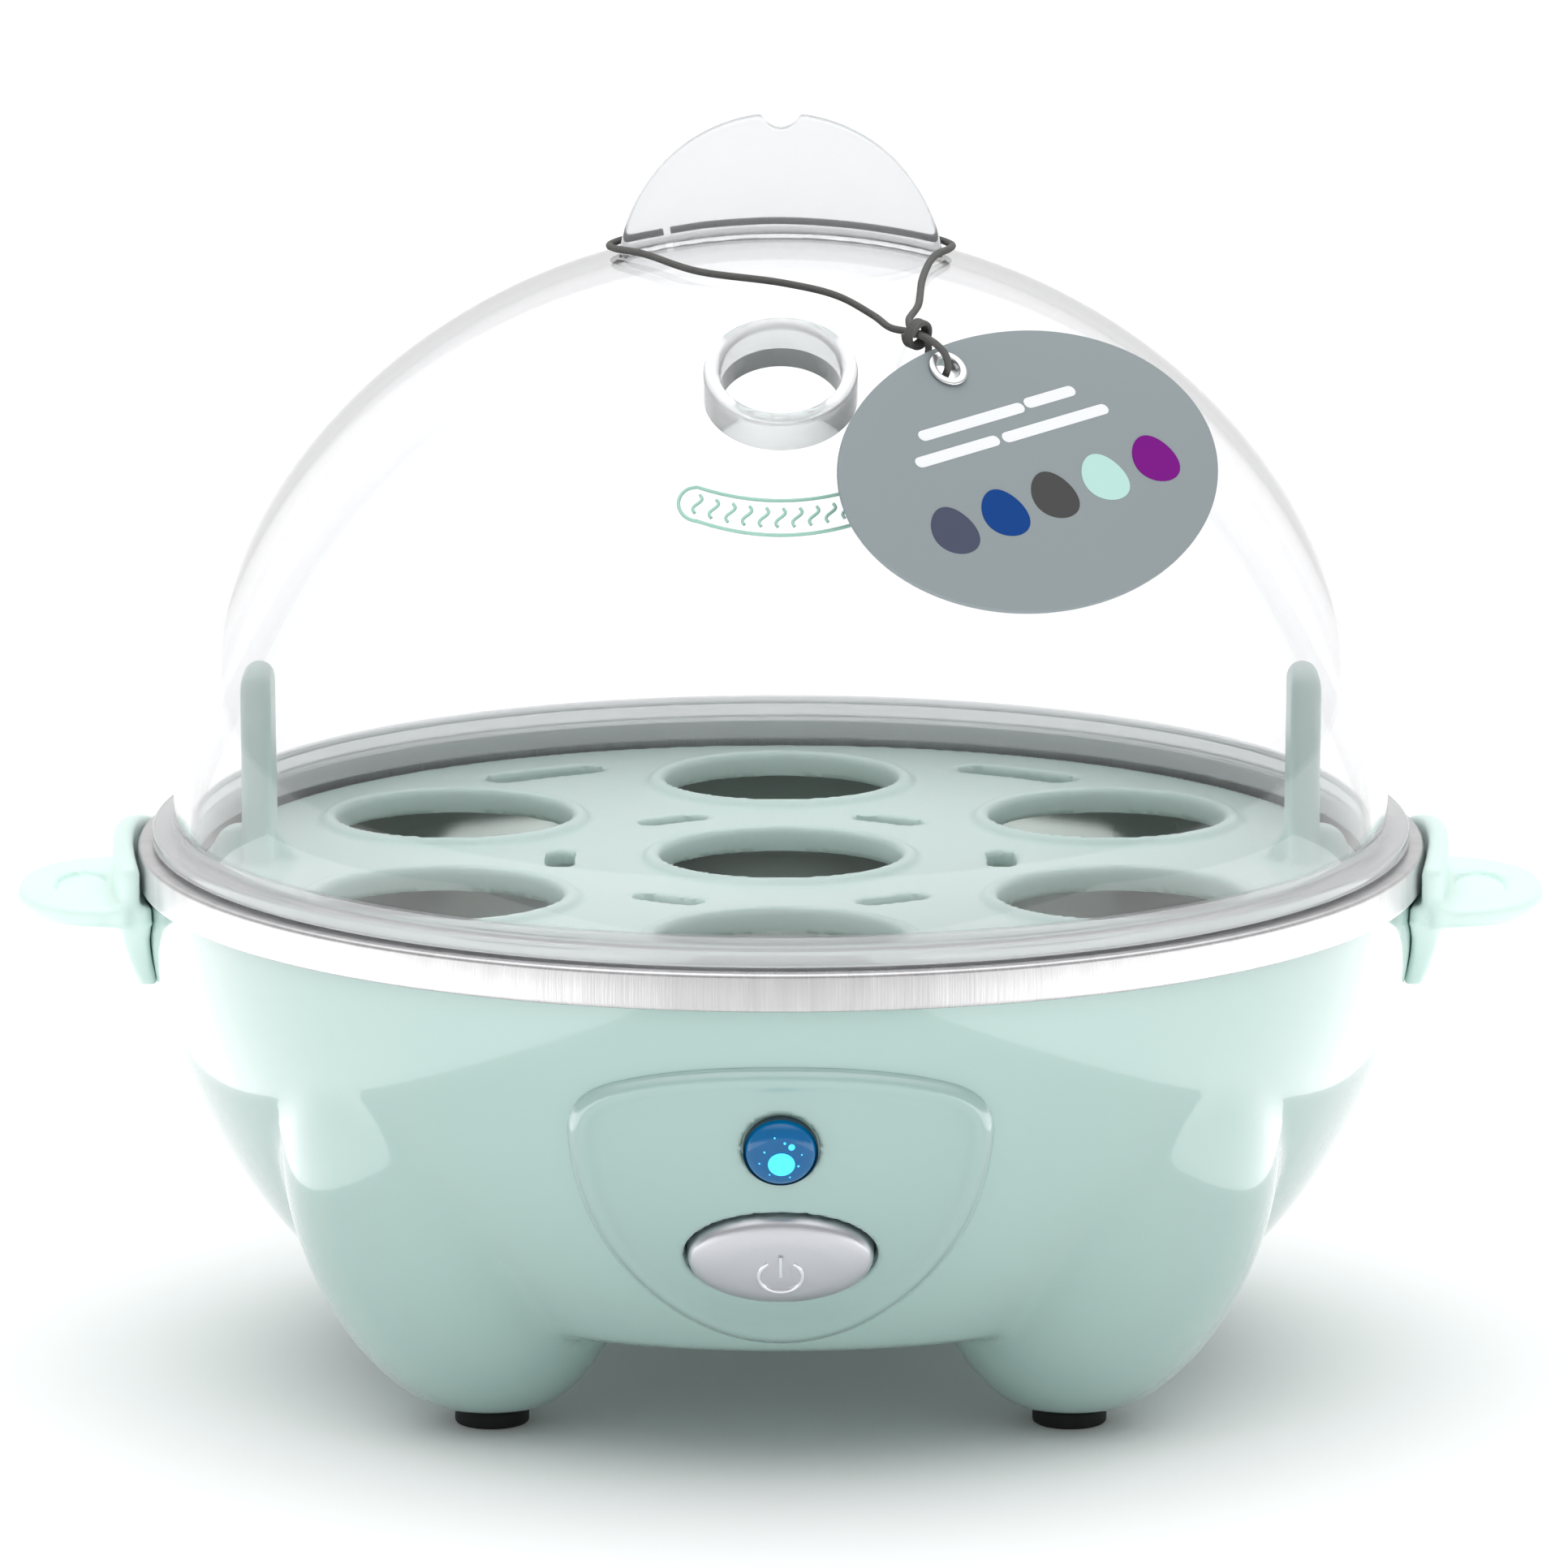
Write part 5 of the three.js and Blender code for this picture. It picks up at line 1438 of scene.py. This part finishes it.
def add_inlet_ring():
    """The inlet's insulating bush: a flanged ring with an eased mouth and a clip lip inside."""
    bush = rounded(
        [[3.2, 66], [3.2, 57.6], [6.3, 57.6], [6.3, 58.8], [5.2, 59.6], [5.2, 73.9], [8, 73.9], [8, 75.6]]
        + [[6.6, 76.4], [4.2, 76.4], [3.2, 75.2], [3.2, 66]],
        0.5,
    )[:-1]
    points, faces = turned(bush, 72)
    place = Matrix.Translation((0, 0, INLET_Z)) @ Matrix.Rotation(-math.pi / 2, 4, "X")
    make_piece(
        "cord_gland_fine",
        moved(points, place),
        outward(points, faces),
        FINISHES["black_plastic"],
        "base",
        ["cord_gland"],
    )


add_feet()
add_cover()
add_screws()
add_inlet_ring()


# ------------------------------------------------------------------ floor and light


def add_floor():
    material = bpy.data.materials.new("floor_white")
    material.use_nodes = True
    shader = material.node_tree.nodes["Principled BSDF"]
    set_socket(shader, "Base Color", (0.95, 0.95, 0.95, 1))
    set_socket(shader, "Roughness", 0.9)
    set_socket(shader, "Specular IOR Level", 0.1)
    set_socket(shader, "Emission Color", (1, 1, 1, 1))
    set_socket(shader, "Emission Strength", 0.03)
    mesh = bpy.data.meshes.new("floor")
    half = 6.0
    corners = [(-half, -half, 0), (half, -half, 0), (half, half, 0), (-half, half, 0)]
    mesh.from_pydata(corners, [], [(0, 1, 2, 3)])
    mesh.materials.append(material)
    floor = bpy.data.objects.new("floor", mesh)
    bpy.context.scene.collection.objects.link(floor)


def ramp(tree, value, low, high):
    """A smooth step from 0 at low to 1 at high."""
    node = tree.nodes.new("ShaderNodeMapRange")
    node.interpolation_type = "SMOOTHSTEP"
    node.inputs["From Min"].default_value = low
    node.inputs["From Max"].default_value = high
    tree.links.new(value, node.inputs["Value"])
    return node.outputs["Result"]


def add_studio():
    """Soft light from all round, brightest overhead and bright behind the cooker."""
    world = bpy.data.worlds.new("studio")
    world.use_nodes = True
    tree = world.node_tree
    place = tree.nodes.new("ShaderNodeTexCoord")
    split = tree.nodes.new("ShaderNodeSeparateXYZ")
    tree.links.new(place.outputs["Generated"], split.inputs["Vector"])
    overhead = math_node(tree, "MULTIPLY", ramp(tree, split.outputs["Z"], 0.5, 0.98), 1.65)
    behind = math_node(tree, "MULTIPLY", ramp(tree, split.outputs["Y"], -0.2, 0.9), 0.42)
    total = math_node(tree, "ADD", math_node(tree, "ADD", overhead, behind), 0.42)
    background = tree.nodes["Background"]
    background.inputs["Color"].default_value = (1, 1, 1, 1)
    tree.links.new(total, background.inputs["Strength"])
    bpy.context.scene.world = world
    bpy.context.scene.view_settings.view_transform = "Standard"


def add_floor_light(name, x, y, width, depth, radiance):
    """A low panel that shines straight up, out of view beside or before the cooker."""
    data = bpy.data.lights.new(name, "AREA")
    data.shape = "RECTANGLE"
    data.size = width
    data.size_y = depth
    data.energy = radiance * math.pi * width * depth
    panel = bpy.data.objects.new(name, data)
    bpy.context.scene.collection.objects.link(panel)
    panel.location = (x, y, 0.004)
    panel.rotation_euler = (math.pi, 0, 0)
    panel.visible_transmission = False
    return panel


def add_panels():
    # The side panels show only as a shine on the glossy sides; the front one only fills in shade.
    for name, side in (("panel_left", -1), ("panel_right", 1)):
        add_floor_light(name, side * 0.37, -0.1, 0.5, 0.56, 1.3).visible_diffuse = False
    add_floor_light("panel_front", 0, -0.4, 0.9, 0.54, 0.8).visible_glossy = False


add_floor()
add_studio()
add_panels()
